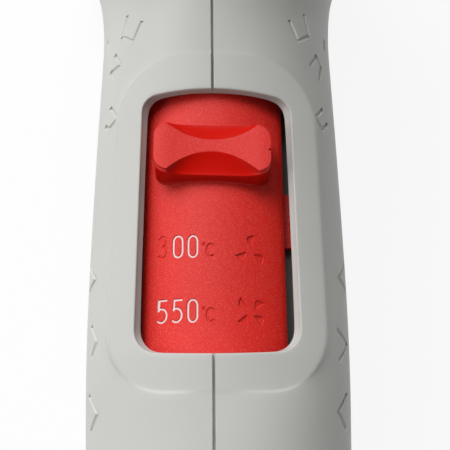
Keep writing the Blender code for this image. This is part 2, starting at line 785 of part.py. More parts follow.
def rear_end():
    """Intake grille held in a groove of the halves, and the rubber ring to stand on."""
    rim = RING_INNER - 0.3
    low = REAR_EDGE + 1.8
    high = REAR_EDGE + 3.0
    profile = [(0.0, 0.0), (GRILLE_HUB, 0.0), (GRILLE_HUB + 0.6, 0.6), (rim, 0.6), (rim, low)]
    profile += [(rim + 1.8, low), (rim + 1.8, high), (rim - 2.0, high)]
    profile += [(rim - 2.0, GRILLE_THICKNESS + 0.6), (0.0, GRILLE_THICKNESS + 0.6)]
    grille = turned("grille", profile, BARREL_SEGMENTS)
    slots = []
    sectors = 5
    spoke = 1.3
    start = GRILLE_HUB + 1.8
    pitch = (rim - 3.2 - start) / 3.0
    for row, arcs in enumerate((2, 2, 3)):
        inner = start + pitch * row
        outer = inner + 0.62 * pitch
        for sector in range(sectors):
            first = 2.0 * math.pi * sector / sectors
            last = 2.0 * math.pi * (sector + 1) / sectors
            outline = []
            for radius, steps in ((inner, range(arcs + 1)), (outer, range(arcs, -1, -1))):
                margin = spoke / radius
                for step in steps:
                    angle = first + margin + (last - first - 2.0 * margin) * step / arcs
                    outline.append((radius * math.cos(angle), radius * math.sin(angle)))
            slots.append(extruded("slot", outline, -2.0, GRILLE_THICKNESS + 3.0))
    grille = cut(grille, gather(slots))
    complete(grille, "rear_grille", "dark_plastic")

    ring_profile = [(RING_INNER, 0.0), (RING_OUTER - 1.0, 0.0)]
    ring_profile += [(RING_OUTER, 1.0), (RING_OUTER, RING_HEIGHT - 0.6)]
    ring_profile += [(RING_OUTER - 0.6, RING_HEIGHT), (RING_INNER, RING_HEIGHT)]
    ring = turned("ring", ring_profile, BARREL_SEGMENTS, hollow=True)
    complete(ring, "stand_ring", "black_rubber")


# Nose, nozzle and heater

def nose():
    """Heat-resistant guard round the root of the nozzle, with cooling slots."""
    bore = TUBE_RADIUS + FIT
    spigot = NOSE_RADIUS - WALL - 0.3
    hook = SHELL_FRONT - 7.5
    profile = [(spigot - 2.5, hook - 1.5), (spigot + 1.5, hook - 1.5), (spigot + 1.5, hook)]
    profile += [(spigot, hook), (spigot, SHELL_FRONT + 0.4), (NOSE_RADIUS, SHELL_FRONT + 0.4)]
    for inset, past in ((0.4, 8.0), (1.9, 16.0), (4.4, 22.0), (7.2, 24.0)):
        profile.append((NOSE_RADIUS - inset, SHELL_FRONT + past))
    profile += [(bore, SHELL_FRONT + 24.0), (bore, SHELL_FRONT + 21.6)]
    profile += [(bore + 2.6, SHELL_FRONT + 20.6), (spigot - 2.5, SHELL_FRONT + 15.5)]
    guard = turned("guard", profile, BARREL_SEGMENTS, hollow=True)
    slots = []
    for step in range(10):
        place = Matrix.Rotation(2.0 * math.pi * (step + 0.5) / 10, 4, "Z")
        slots.append(block("slot", (spigot - 5.5, -1.5, SHELL_FRONT + 4.0),
                           (NOSE_RADIUS + 5.0, 1.5, SHELL_FRONT + 15.0), place))
    guard = cut(guard, gather(slots))
    complete(guard, "nose_guard", "dark_plastic")


def nozzle():
    """Steel tube with a flange at its root and a rolled mouth, and its mica lining."""
    inner = TUBE_RADIUS - TUBE_WALL
    root = BULKHEAD - 1.4
    profile = [(inner, root), (FLANGE_RADIUS - 0.4, root), (FLANGE_RADIUS - 0.4, root + 1.1)]
    profile += [(TUBE_RADIUS, root + 1.1), (TUBE_RADIUS, TUBE_END - 5.0)]
    bead = 0.9
    for step in range(5):
        angle = math.radians(-60.0 + 60.0 * step)
        radius = TUBE_RADIUS + 0.1 + bead * math.cos(angle)
        profile.append((radius, TUBE_END - bead + bead * math.sin(angle)))
    profile.append((inner, TUBE_END - 3.0))
    tube = turned("tube", profile, 32, hollow=True)
    complete(tube, "nozzle_tube", "nozzle_steel")

    lining = inner - FIT
    profile = [(lining - SLEEVE_WALL, root + 0.2), (lining, root + 0.2), (lining, SLEEVE_END)]
    profile.append((lining - SLEEVE_WALL, SLEEVE_END))
    sleeve = turned("sleeve", profile, 24, hollow=True)
    complete(sleeve, "mica_sleeve", "mica")


def heater_disc(radius, low, high, vents):
    """A mica or ceramic disc with round air holes between the arms of the cross."""
    disc = turned("disc", [(0.0, low), (radius, low), (radius, high), (0.0, high)], 24)
    holes = []
    for quarter in vents:
        angle = math.radians(45.0 + 90.0 * quarter)
        x = 8.4 * math.cos(angle)
        y = 8.4 * math.sin(angle)
        holes.append(round_bar("hole", 4.2, (x, y, low - 1.0), (x, y, high + 1.0), 10))
    return cut(disc, gather(holes))


def coil_path(start, base, roof):
    """Centre line of the winding: up from the base, round the cross, up to the top disc."""
    step_angle = 2.0 * math.pi / 24
    points = []
    turns = COIL_LOOPS * 24
    bend_steps = 5
    bend = 2.6
    rise = COIL_PITCH / 24
    lead_angle = bend / COIL_RADIUS
    end = start + COIL_LOOPS * COIL_PITCH
    flat = []
    flat.append((-lead_angle, base))
    flat.append((-lead_angle, start - bend))
    for step in range(1, bend_steps):
        t = 0.5 * math.pi * step / bend_steps
        flat.append((-lead_angle * math.cos(t), start - bend + bend * math.sin(t)))
    for step in range(turns + 1):
        flat.append((step_angle * step, start + rise * step))
    last = step_angle * turns
    for step in range(1, bend_steps):
        t = 0.5 * math.pi * step / bend_steps
        flat.append((last + lead_angle * math.sin(t), end + bend - bend * math.cos(t)))
    flat.append((last + lead_angle, end + bend))
    flat.append((last + lead_angle, roof))
    first = math.radians(45.0)
    for angle, height in flat:
        turn = first + angle
        points.append((COIL_RADIUS * math.cos(turn), COIL_RADIUS * math.sin(turn), height))
    return points


def tube_along(name, points, radius, resolution):
    """A round bar along points, as a curve with a bevel and filled ends."""
    curve = bpy.data.curves.new(name, "CURVE")
    curve.dimensions = "3D"
    curve.bevel_depth = radius * MM
    curve.bevel_resolution = resolution
    curve.use_fill_caps = True
    spline = curve.splines.new("POLY")
    spline.points.add(len(points) - 1)
    for knot, point in zip(spline.points, points):
        knot.co = (point[0] * MM, point[1] * MM, point[2] * MM, 1.0)
    thing = bpy.data.objects.new(name, curve)
    bpy.context.scene.collection.objects.link(thing)
    return thing


def least_gap(points, radius, skip):
    """Smallest gap of a tube to itself, between points more than skip apart along it."""
    least = 1e9
    vectors = [Vector(point) for point in points]
    for index, one in enumerate(vectors):
        for other in vectors[index + skip:]:
            least = min(least, (one - other).length)
    return least - 2.0 * radius


def heater():
    """Mica cross on a ceramic base, wound with resistance wire, a disc on top."""
    base_low = THROAT_REAR + 0.5
    base_high = base_low + 2.2
    base = heater_disc(THROAT_RADIUS - FIT, base_low, base_high, (1, 2, 3))
    complete(base, "heater_base", "white_plastic")

    half = COIL_RADIUS - WIRE_RADIUS - 0.35
    thin = 0.5 * CORE_THICKNESS
    outline = [(half, -thin), (half, thin), (thin, thin), (thin, half), (-thin, half), (-thin, thin)]
    outline += [(-half, thin), (-half, -thin), (-thin, -thin), (-thin, -half), (thin, -half)]
    outline.append((thin, -thin))
    core = extruded("core", outline, base_high + FIT, CORE_END)
    complete(core, "heater_core", "mica")

    disc_low = CORE_END + FIT
    disc = heater_disc(TUBE_RADIUS - TUBE_WALL - FIT - SLEEVE_WALL - FIT, disc_low, disc_low + 1.6,
                       (0, 1, 2, 3))
    complete(disc, "heater_top_disc", "mica")

    path = coil_path(COIL_START, base_high + 0.3, disc_low - 0.3)
    wire = tube_along("heater_winding", path, WIRE_RADIUS, 1)
    complete(wire, "heater_winding", "heating_wire")
    print("winding: least gap to itself in mm", round(least_gap(path, WIRE_RADIUS, 8), 2))

    place = 6.0
    cutout = turned("cutout", [(0.0, base_high + 0.3), (2.9, base_high + 0.3),
                               (2.9, base_high + 3.0), (2.3, base_high + 3.6),
                               (0.0, base_high + 3.6)], 16,
                    place=Matrix.Translation((place, place, 0.0)))
    complete(cutout, "thermal_cutout", "motor_steel")


# Motor and fan

def motor():
    """Motor can with its shaft, and the rectifier board on its rear."""
    bore = SHAFT_RADIUS + SHAFT_FIT
    profile = [(bore, MOTOR_REAR - 3.0), (MOTOR_BOSS, MOTOR_REAR - 3.0), (MOTOR_BOSS, MOTOR_REAR)]
    profile += [(MOTOR_RADIUS - 1.0, MOTOR_REAR), (MOTOR_RADIUS, MOTOR_REAR + 1.0)]
    profile += [(MOTOR_RADIUS, MOTOR_FRONT - 1.0), (MOTOR_RADIUS - 1.0, MOTOR_FRONT)]
    profile += [(MOTOR_BOSS, MOTOR_FRONT), (MOTOR_BOSS, MOTOR_FRONT + 2.5)]
    profile.append((bore, MOTOR_FRONT + 2.5))
    can = turned("can", profile, 24, hollow=True)
    complete(can, "motor_can", "motor_steel")

    shaft = turned("shaft", [(0.0, MOTOR_REAR - 4.5), (SHAFT_RADIUS, MOTOR_REAR - 4.5),
                             (SHAFT_RADIUS, SHAFT_FRONT), (0.0, SHAFT_FRONT)], 12)
    complete(shaft, "motor_shaft", "screw_steel")

    board_high = MOTOR_REAR - FIT
    board_low = board_high - 1.6
    hole = MOTOR_BOSS + FIT
    edge = MOTOR_RADIUS - 3.2
    board = turned("board", [(hole, board_low), (edge, board_low), (edge, board_high),
                             (hole, board_high)], 24, hollow=True)
    middle = 0.5 * (hole + edge)
    reach = 0.22 * (edge - hole)
    for x in (-0.8 * middle, 0.8 * middle):
        for y in (-0.3 * middle, 0.3 * middle):
            low = (x - reach, y - 0.55 * reach, board_low - 2.8)
            board = add(board, block("diode", low, (x + reach, y + 0.55 * reach, board_low + 0.4)))
    board = add(board, round_bar("smoother", 0.38 * (edge - hole), (0.0, middle, board_low - 6.0),
                                 (0.0, middle, board_low + 0.4), 12))
    complete(board, "rectifier_board", "board_green")


def fan():
    """Seven twisted blades on a hub that sits on the motor shaft."""
    bore = SHAFT_RADIUS + 0.3
    front = FAN_REAR + FAN_HUB_LENGTH
    profile = [(bore, FAN_REAR), (FAN_HUB_RADIUS, FAN_REAR), (FAN_HUB_RADIUS, front)]
    profile += [(0.84 * FAN_HUB_RADIUS, front + 2.0), (0.5 * FAN_HUB_RADIUS, front + 3.2)]
    profile.append((bore, front + 3.2))
    wheel = turned("wheel", profile, 21, hollow=True)
    root = FAN_HUB_RADIUS - 1.2
    tip = DUCT_RADIUS - DUCT_WALL - TIP_GAP
    blades = []
    for number in range(FAN_BLADES):
        rings = []
        for step in range(4):
            share = step / 3
            radius = root + (tip - root) * share
            pitch = math.radians(52.0 - 26.0 * share)
            chord = 9.0 + 3.6 * share
            thick = 0.9 - 0.3 * share
            ring = []
            for along, side in ((-0.5, 0.35), (0.0, 1.0), (0.5, 0.35), (0.5, -0.35),
                                (0.0, -0.55), (-0.5, -0.35)):
                bow = 0.9 * (1.0 - 4.0 * along * along)
                u = along * chord
                v = side * thick + bow
                across = u * math.cos(pitch) - v * math.sin(pitch)
                up = u * math.sin(pitch) + v * math.cos(pitch)
                spread = across / radius
                ring.append((radius * math.cos(spread), radius * math.sin(spread),
                             FAN_REAR + 0.5 * FAN_HUB_LENGTH + up))
            rings.append(ring)
        place = Matrix.Rotation(2.0 * math.pi * number / FAN_BLADES, 4, "Z")
        blades.append(lofted("blade", rings, place))
    wheel = add(wheel, gather(blades))
    complete(wheel, "fan_impeller", "white_plastic")


def duct():
    """Fan duct in one piece with the motor mount; its throat holds the heater base."""
    inner = DUCT_RADIUS - DUCT_WALL
    rib_top = RIB_REAR + RIB_THICKNESS
    profile = [(inner, DUCT_REAR), (DUCT_RADIUS, DUCT_REAR), (DUCT_RADIUS, rib_top + FIT)]
    profile += [(DUCT_RADIUS + 2.8, rib_top + FIT), (DUCT_RADIUS + 2.8, rib_top + 2.4)]
    narrow = DUCT_REAR + DUCT_LENGTH
    profile += [(DUCT_RADIUS, rib_top + 2.4), (DUCT_RADIUS, narrow + 3.0)]
    profile.append((FLANGE_RADIUS - 2.0, THROAT_REAR + 0.5))
    flange_top = BULKHEAD - 1.4 - FIT
    profile += [(FLANGE_RADIUS - 2.0, flange_top - 1.8), (FLANGE_RADIUS, flange_top - 1.8)]
    profile += [(FLANGE_RADIUS, flange_top), (THROAT_RADIUS, flange_top)]
    profile += [(THROAT_RADIUS, THROAT_REAR), (inner, narrow)]
    case = turned("case", profile, 32, hollow=True)

    hold = MOTOR_RADIUS + FIT
    lip = MOTOR_FRONT + FIT
    profile = [(hold, DUCT_REAR), (hold + 1.9, DUCT_REAR), (hold + 1.9, lip + 1.6)]
    profile += [(12.0, lip + 1.6), (12.0, lip), (hold, lip)]
    mount = turned("mount", profile, 24, hollow=True)
    spokes = []
    for step in range(4):
        place = Matrix.Rotation(0.5 * math.pi * (step + 0.5), 4, "Z")
        low = (hold + 1.0, -1.1, DUCT_REAR + 0.5)
        spokes.append(block("spoke", low, (inner + 0.8, 1.1, DUCT_REAR + 9.0), place))
    mount = add(mount, gather(spokes))
    case = add(case, mount)
    complete(case, "fan_duct", "white_plastic")


# Handle: slide button, guide tray, switch, terminals

def plate_height(x):
    """Height of the slide plate's outer face over the handle axis."""
    return PLATE_CROWN - PLATE_RADIUS + math.sqrt(PLATE_RADIUS ** 2 - x * x)


def slide_plate():
    """The curved plate, long enough to cover the window at both ends of its travel."""
    top = WINDOW_TOP - SLIDE_TRAVEL - PLATE_LAP
    bottom = WINDOW_BOTTOM + PLATE_LAP
    reach = math.asin(PLATE_HALF_WIDTH / PLATE_RADIUS)
    middle = PLATE_CROWN - PLATE_RADIUS
    outline = []
    steps = 14
    for step in range(steps + 1):
        angle = reach - 2.0 * reach * step / steps
        outline.append((PLATE_RADIUS, angle))
    for step in range(steps, -1, -1):
        angle = reach - 2.0 * reach * step / steps
        outline.append((PLATE_RADIUS - PLATE_THICKNESS, angle))
    rings = []
    for s in (top, bottom):
        rings.append([(radius * math.sin(angle), -s, middle + radius * math.cos(angle))
                      for radius, angle in outline])
    return lofted("plate", rings)


def thumb_bar():
    """Thumb bar with an hourglass top and a finger notch on each long side."""
    steps = 16
    root = -2.6
    rings = []
    for step in range(steps + 1):
        share = -math.cos(math.pi * step / steps)
        u = BAR_HALF_LENGTH * share
        past = max(abs(u) - (BAR_HALF_LENGTH - BAR_CORNER), 0.0)
        edge = BAR_HALF_WIDTH - BAR_CORNER + math.sqrt(max(BAR_CORNER ** 2 - past ** 2, 0.0))
        top = BAR_RISE - BAR_DIP * (1.0 - (u / BAR_HALF_LENGTH) ** 2)
        notch = min(abs(u) / NOTCH_REACH, 1.0)
        arc = BAR_WAIST + (edge - 0.05 - BAR_WAIST) * notch ** 2
        arc = min(arc, edge - 0.05)
        ledge = BAR_LEDGE + (top - 0.35 - BAR_LEDGE) * notch ** 6
        crown = plate_height(u) - PLATE_CROWN
        ledge = max(ledge, crown + 0.6)
        half = []
        for t in (0.0, 0.35, 0.7, 1.0):
            v = arc + (edge - arc) * t
            sweep = (1.0 - t) ** 1.6
            half.append((v, ledge + (top - ledge) * sweep))
        profile = [(-v, h) for v, h in reversed(half)] + half
        ring = [(u, -BAR_MIDDLE - edge, PLATE_CROWN + root)]
        ring += [(u, -BAR_MIDDLE + v, PLATE_CROWN + h) for v, h in profile]
        ring.append((u, -BAR_MIDDLE + edge, PLATE_CROWN + root))
        rings.append(ring)
    return lofted("bar", rings)


def slide_button(frame):
    """The red moulding: plate, thumb bar, wings that run in the tray, driver pin."""
    button = add(slide_plate(), thumb_bar())
    wing_low = WING_HEIGHT - WING_THICKNESS
    wings = handle_block("wings", (-WING_HALF_WIDTH, WING_HALF_WIDTH), (WING_TOP, WING_BOTTOM),
                         (wing_low, WING_HEIGHT))
    button = add(button, wings)
    half_length = DRIVER_HALF_LENGTH
    pin = handle_block("pin", (-DRIVER_HALF_WIDTH, DRIVER_HALF_WIDTH),
                       (DRIVER_MIDDLE - half_length, DRIVER_MIDDLE + half_length),
                       (DRIVER_TIP, PLATE_CROWN - 0.6))
    button = add(button, pin)
    complete(button, "slide_button", "red_plastic", frame)


def guide_tray(frame):
    """Dark tray under the slide: floor with a slot for the driver, two rails, four ears."""
    inner = WING_HALF_WIDTH + FIT
    outer = inner + TRAY_WALL
    tray = handle_block("tray", (-outer, outer), (TRAY_TOP, TRAY_BOTTOM),
                        (TRAY_UNDERSIDE, TRAY_WALL_HEIGHT))
    room = handle_block("room", (-inner, inner), (TRAY_TOP - 1.0, TRAY_BOTTOM + 1.0),
                        (TRAY_TOP_FACE, TRAY_WALL_HEIGHT + 1.0))
    tray = cut(tray, room)
    slot = handle_block("slot", (-DRIVER_HALF_WIDTH - 0.6, DRIVER_HALF_WIDTH + 0.6),
                        (DRIVER_MIDDLE - DRIVER_HALF_LENGTH - 1.0,
                         DRIVER_MIDDLE + DRIVER_HALF_LENGTH + SLIDE_TRAVEL + 1.0),
                        (TRAY_UNDERSIDE - 1.0, TRAY_TOP_FACE + 1.0))
    tray = cut(tray, slot)
    for s in (TRAY_TOP + 4.0, TRAY_BOTTOM - 8.0):
        reach = room_half_width(s - EAR_HALF_LENGTH, TRAY_TOP_FACE) - FIT
        for side in (-1.0, 1.0):
            x_range = sorted((side * (outer - 0.5), side * reach))
            ear = handle_block("ear", x_range, (s - EAR_HALF_LENGTH, s + EAR_HALF_LENGTH),
                               (TRAY_UNDERSIDE, TRAY_TOP_FACE))
            tray = add(tray, ear)
    complete(tray, "guide_tray", "dark_plastic", frame)


def switch(frame):
    """Switch body hung under the tray, with the carriage that the driver pin moves."""
    bottom = SWITCH_TOP + 2.0 * CARRIAGE_HALF_LENGTH + SLIDE_TRAVEL + 6.0
    body = handle_block("body", (-SWITCH_HALF_WIDTH, SWITCH_HALF_WIDTH), (SWITCH_TOP, bottom),
                        (SWITCH_FACE - SWITCH_DEPTH, SWITCH_FACE))
    channel = CARRIAGE_HALF_WIDTH + FIT
    start = DRIVER_MIDDLE - CARRIAGE_HALF_LENGTH - 0.8
    end = DRIVER_MIDDLE + CARRIAGE_HALF_LENGTH + SLIDE_TRAVEL + 0.8
    body = cut(body, handle_block("channel", (-channel, channel), (start, end),
                                  (CARRIAGE_BOTTOM - FIT, SWITCH_FACE + 1.0)))
    tabs = []
    tab_low = SWITCH_FACE - SWITCH_DEPTH - 4.0
    for x in (-5.0, 0.0, 5.0):
        for s in (SWITCH_TOP + 6.0, bottom - 6.0):
            tabs.append(handle_block("tab", (x - 0.4, x + 0.4), (s - 2.0, s + 2.0),
                                     (tab_low, SWITCH_FACE - SWITCH_DEPTH + 0.5)))
    body = add(body, gather(tabs))
    complete(body, "switch_body", "dark_plastic", frame)

    half = CARRIAGE_HALF_WIDTH
    carriage = handle_block("carriage", (-half, half),
                            (DRIVER_MIDDLE - CARRIAGE_HALF_LENGTH,
                             DRIVER_MIDDLE + CARRIAGE_HALF_LENGTH),
                            (CARRIAGE_BOTTOM, SWITCH_FACE - 0.2))
    pocket = DRIVER_HALF_LENGTH + 0.3
    carriage = cut(carriage, handle_block("pocket", (-half - 1.0, half + 1.0),
                                          (DRIVER_MIDDLE - pocket, DRIVER_MIDDLE + pocket),
                                          (DRIVER_TIP - FIT, SWITCH_FACE + 1.0)))
    complete(carriage, "switch_carriage", "white_plastic", frame)
    return bottom


def supply_side(frame, switch_bottom):
    """Suppression capacitor above the switch, terminal block below it."""
    cap = handle_block("cap", (-6.0, 6.0), (SWITCH_TOP - 19.0, SWITCH_TOP - 3.0),
                       (-2.0, SWITCH_FACE))
    soften(cap, 1.0)
    complete(cap, "suppression_capacitor", "white_plastic", frame)

    low = TERMINAL_LOW
    start = switch_bottom + 3.0
    terminals = handle_block("terminals", (-8.5, 8.5), (start, start + 12.0), (low, SWITCH_FACE))
    cutters = [handle_block("step", (-1.0, 1.0), (start - 1.0, start + 13.0), (low - 1.0, low + 3.0))]
    for x in (-4.8, 4.8):
        middle = -(start + 6.0)
        cutters.append(round_bar("screw_hole", 1.7, (x, middle, low - 1.0), (x, middle, low + 4.0), 12))
    terminals = cut(terminals, gather(cutters))
    complete(terminals, "terminal_block", "white_plastic", frame)


def cord_inlet(frame):
    """Bush in the butt with a groove for the wall, and the clamp bar inside."""
    wall_in = HANDLE_END - BUTT_WALL
    profile = [(BUSH_BORE, wall_in - 2.6), (BUSH_FLANGE, wall_in - 2.6), (BUSH_FLANGE, wall_in - FIT)]
    profile += [(BUSH_WAIST, wall_in - FIT), (BUSH_WAIST, HANDLE_END + FIT)]
    profile += [(BUSH_FLANGE + 0.6, HANDLE_END + FIT), (BUSH_FLANGE + 0.6, HANDLE_END + 1.8)]
    profile += [(BUSH_FLANGE - 0.8, HANDLE_END + 2.8), (BUSH_FLANGE - 1.6, HANDLE_END + 5.5)]
    profile.append((BUSH_BORE, HANDLE_END + 5.5))
    along = Matrix.Rotation(math.pi / 2, 4, "X")
    bush = turned("bush", profile, 18, hollow=True, place=along)
    complete(bush, "cord_bush", "black_rubber", frame)

    outline = [(-0.2, 4.6), (-0.2, 11.0), (-2.8, 11.0), (-2.8, 5.6), (-6.4, 3.2), (-6.4, -3.2)]
    outline += [(-2.8, -5.6), (-2.8, -11.0), (-0.2, -11.0), (-0.2, -4.6), (-4.2, -2.2), (-4.2, 2.2)]
    clamp_low = CLAMP_START
    clamp_high = clamp_low + CLAMP_WIDTH
    rings = [[(x, -s, h) for x, h in outline] for s in (clamp_low, clamp_high)]
    clamp = lofted("clamp", rings)
    holes = []
    middle = -0.5 * (clamp_low + clamp_high)
    for h in (-CLAMP_SCREW, CLAMP_SCREW):
        holes.append(round_bar("hole", 1.5, (-5.0, middle, h), (2.0, middle, h), 12))
    clamp = cut(clamp, gather(holes))
    complete(clamp, "cord_clamp", "dark_plastic", frame)
    for number, h in enumerate((-CLAMP_SCREW, CLAMP_SCREW), 1):
        steps = [(0.0, -5.0), (1.6, -4.8), (2.2, -4.0), (2.2, -3.1), (1.2, -3.1), (1.2, 7.0), (0.0, 7.0)]
        place = Matrix.Translation((0.0, middle, h)) @ Matrix.Rotation(math.pi / 2, 4, "Y")
        screw = turned("screw", steps, 8, place=place)
        complete(screw, f"clamp_screw_{number}", "screw_steel", frame)


def main():
    for thing in list(bpy.data.objects):
        bpy.data.objects.remove(thing)
    handle_frame = bpy.data.objects.new("handle_frame", None)
    handle_frame.location = HANDLE_FRAME.to_translation() * MM
    handle_frame.rotation_euler = (SLOPE, 0.0, 0.0)
    bpy.context.scene.collection.objects.link(handle_frame)
    housing()
    housing_screws()
    rear_end()
    nose()
    nozzle()
    heater()
    motor()
    fan()
    duct()
    slide_button(handle_frame)
    guide_tray(handle_frame)
    switch_bottom = switch(handle_frame)
    supply_side(handle_frame, switch_bottom)
    cord_inlet(handle_frame)


main()
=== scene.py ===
"""Dressed model of a hot air tool that stands on its rear end, seen over its slide switch."""

import math

import bpy
from mathutils import Matrix, Vector
from mathutils.kdtree import KDTree


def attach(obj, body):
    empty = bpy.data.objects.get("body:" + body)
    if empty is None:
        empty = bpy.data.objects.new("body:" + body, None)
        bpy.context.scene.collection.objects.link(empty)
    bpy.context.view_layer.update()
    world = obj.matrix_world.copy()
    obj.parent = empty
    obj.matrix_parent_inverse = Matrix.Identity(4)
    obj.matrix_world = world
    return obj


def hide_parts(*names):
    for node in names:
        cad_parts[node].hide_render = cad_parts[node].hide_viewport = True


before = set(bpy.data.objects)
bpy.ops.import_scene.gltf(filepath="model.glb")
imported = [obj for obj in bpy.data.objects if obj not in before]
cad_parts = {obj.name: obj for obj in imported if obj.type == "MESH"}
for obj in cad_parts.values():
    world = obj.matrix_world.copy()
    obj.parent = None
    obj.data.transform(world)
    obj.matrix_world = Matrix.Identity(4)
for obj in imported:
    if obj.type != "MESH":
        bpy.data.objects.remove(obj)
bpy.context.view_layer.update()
bpy.ops.object.select_all(action="DESELECT")


# Camera. It hangs 158 mm off the switch window in the sloping handle, and looks along the
# handle towards the barrel at 20 degrees from square to its face.
MM = 0.001
HANDLE_HEIGHT = 56.0
HANDLE_SLOPE = math.radians(8.0)
HANDLE_ROOT = 13.0
ACROSS = Vector((1.0, 0.0, 0.0))
DOWN_HANDLE = Vector((0.0, -math.cos(HANDLE_SLOPE), -math.sin(HANDLE_SLOPE)))
OFF_FACE = Vector((0.0, -math.sin(HANDLE_SLOPE), math.cos(HANDLE_SLOPE)))
LENS = 80.0
FILM_WIDTH = 36.0
CAMERA_TARGET = (0.75, 94.0, 22.0)
CAMERA_DISTANCE = 158.0
CAMERA_TILT = math.radians(20.0)
CAMERA_YAW = math.radians(-0.2)
CAMERA_ROLL = math.radians(-0.45)


def on_handle(x, s, h):
    """A place x across, s along the handle from its root and h over its own axis."""
    start = Vector((0.0, 0.0, HANDLE_HEIGHT)) + HANDLE_ROOT * DOWN_HANDLE
    return (start + x * ACROSS + s * DOWN_HANDLE + h * OFF_FACE) * MM


camera_data = bpy.data.cameras.new("camera")
camera_data.lens = LENS
camera_data.sensor_width = FILM_WIDTH
camera_data.clip_start = 0.01
camera = bpy.data.objects.new("camera", camera_data)
bpy.context.scene.collection.objects.link(camera)
bpy.context.scene.camera = camera
look = -(OFF_FACE * math.cos(CAMERA_TILT) + DOWN_HANDLE * math.sin(CAMERA_TILT))
right = ACROSS * math.cos(CAMERA_YAW) + look * math.sin(CAMERA_YAW)
look_turned = look * math.cos(CAMERA_YAW) - ACROSS * math.sin(CAMERA_YAW)
up = right.cross(look_turned)
cosine = math.cos(CAMERA_ROLL)
sine = math.sin(CAMERA_ROLL)
right, up = right * cosine + up * sine, up * cosine - right * sine
aim = Matrix((right, up, -look_turned)).transposed().to_4x4()
lens_place = on_handle(*CAMERA_TARGET) - look * CAMERA_DISTANCE * MM
camera.matrix_world = Matrix.Translation(lens_place) @ aim


# Studio. A pale floor under the tool, white to the camera but keeping the tool's shadow, a big
# soft lamp high beyond the barrel on the left, a weak low one on the left and a dim room.
LAMP_TARGET = Vector((0.0, -0.09, 0.07))
LAMP_DISTANCE = 1.7
ROOM_LIGHT = 0.12
WHITE = (1.0, 1.0, 1.0, 1.0)
FLOOR_SIZE = 12.0
FLOOR_DROP = 0.0004
FLOOR_COLOUR = (0.86, 0.86, 0.86, 1.0)
FLOOR_WHITENESS = 0.9


def soft_lamp(name, azimuth, elevation, size, watts):
    """A square lamp in a direction given in degrees, from +X towards +Y and up from the floor."""
    turn = math.radians(azimuth)
    rise = math.radians(elevation)
    level = math.cos(rise)
    direction = Vector((level * math.cos(turn), level * math.sin(turn), math.sin(rise)))
    lamp_data = bpy.data.lights.new(name, "AREA")
    lamp_data.shape = "SQUARE"
    lamp_data.size = size
    lamp_data.energy = watts
    lamp = bpy.data.objects.new(name, lamp_data)
    lamp.location = LAMP_TARGET + LAMP_DISTANCE * direction
    lamp.rotation_euler = (LAMP_TARGET - lamp.location).to_track_quat("-Z", "Y").to_euler()
    bpy.context.scene.collection.objects.link(lamp)


soft_lamp("window_lamp", 122.0, 55.0, 1.3, 31.0)
soft_lamp("low_lamp", 200.0, 25.0, 0.8, 5.2)

# The room's light is dim on the tool, and the camera sees plain white behind it
world = bpy.data.worlds.new("studio")
bpy.context.scene.world = world
world.use_nodes = True
room = world.node_tree
room.nodes.clear()
room_light = room.nodes.new("ShaderNodeBackground")
room_light.inputs["Color"].default_value = WHITE
room_light.inputs["Strength"].default_value = ROOM_LIGHT
room_white = room.nodes.new("ShaderNodeBackground")
room_white.inputs["Color"].default_value = WHITE
room_white.inputs["Strength"].default_value = 1.0
room_path = room.nodes.new("ShaderNodeLightPath")
room_mix = room.nodes.new("ShaderNodeMixShader")
room_out = room.nodes.new("ShaderNodeOutputWorld")
room.links.new(room_path.outputs["Is Camera Ray"], room_mix.inputs[0])
room.links.new(room_light.outputs[0], room_mix.inputs[1])
room.links.new(room_white.outputs[0], room_mix.inputs[2])
room.links.new(room_mix.outputs[0], room_out.inputs["Surface"])

# The floor lies a hair under the plane on which the tool stands
bpy.ops.mesh.primitive_plane_add(size=FLOOR_SIZE, location=(0.0, 0.0, -FLOOR_DROP))
floor = bpy.context.object
floor.name = "studio_floor"
floor_paint = bpy.data.materials.new("pale_floor")
floor_paint.use_nodes = True
tree = floor_paint.node_tree
tree.nodes.clear()
matt = tree.nodes.new("ShaderNodeBsdfDiffuse")
matt.inputs["Color"].default_value = FLOOR_COLOUR
white = tree.nodes.new("ShaderNodeEmission")
white.inputs["Color"].default_value = WHITE
white.inputs["Strength"].default_value = 1.0
path = tree.nodes.new("ShaderNodeLightPath")
seen = tree.nodes.new("ShaderNodeMath")
seen.operation = "MAXIMUM"
share = tree.nodes.new("ShaderNodeMath")
share.operation = "MULTIPLY"
share.inputs[1].default_value = FLOOR_WHITENESS
blend = tree.nodes.new("ShaderNodeMixShader")
out = tree.nodes.new("ShaderNodeOutputMaterial")
tree.links.new(path.outputs["Is Camera Ray"], seen.inputs[0])
tree.links.new(path.outputs["Is Glossy Ray"], seen.inputs[1])
tree.links.new(seen.outputs[0], share.inputs[0])
tree.links.new(share.outputs[0], blend.inputs[0])
tree.links.new(matt.outputs[0], blend.inputs[1])
tree.links.new(white.outputs[0], blend.inputs[2])
tree.links.new(blend.outputs[0], out.inputs["Surface"])
floor.data.materials.append(floor_paint)
bpy.context.scene.view_settings.view_transform = "Standard"


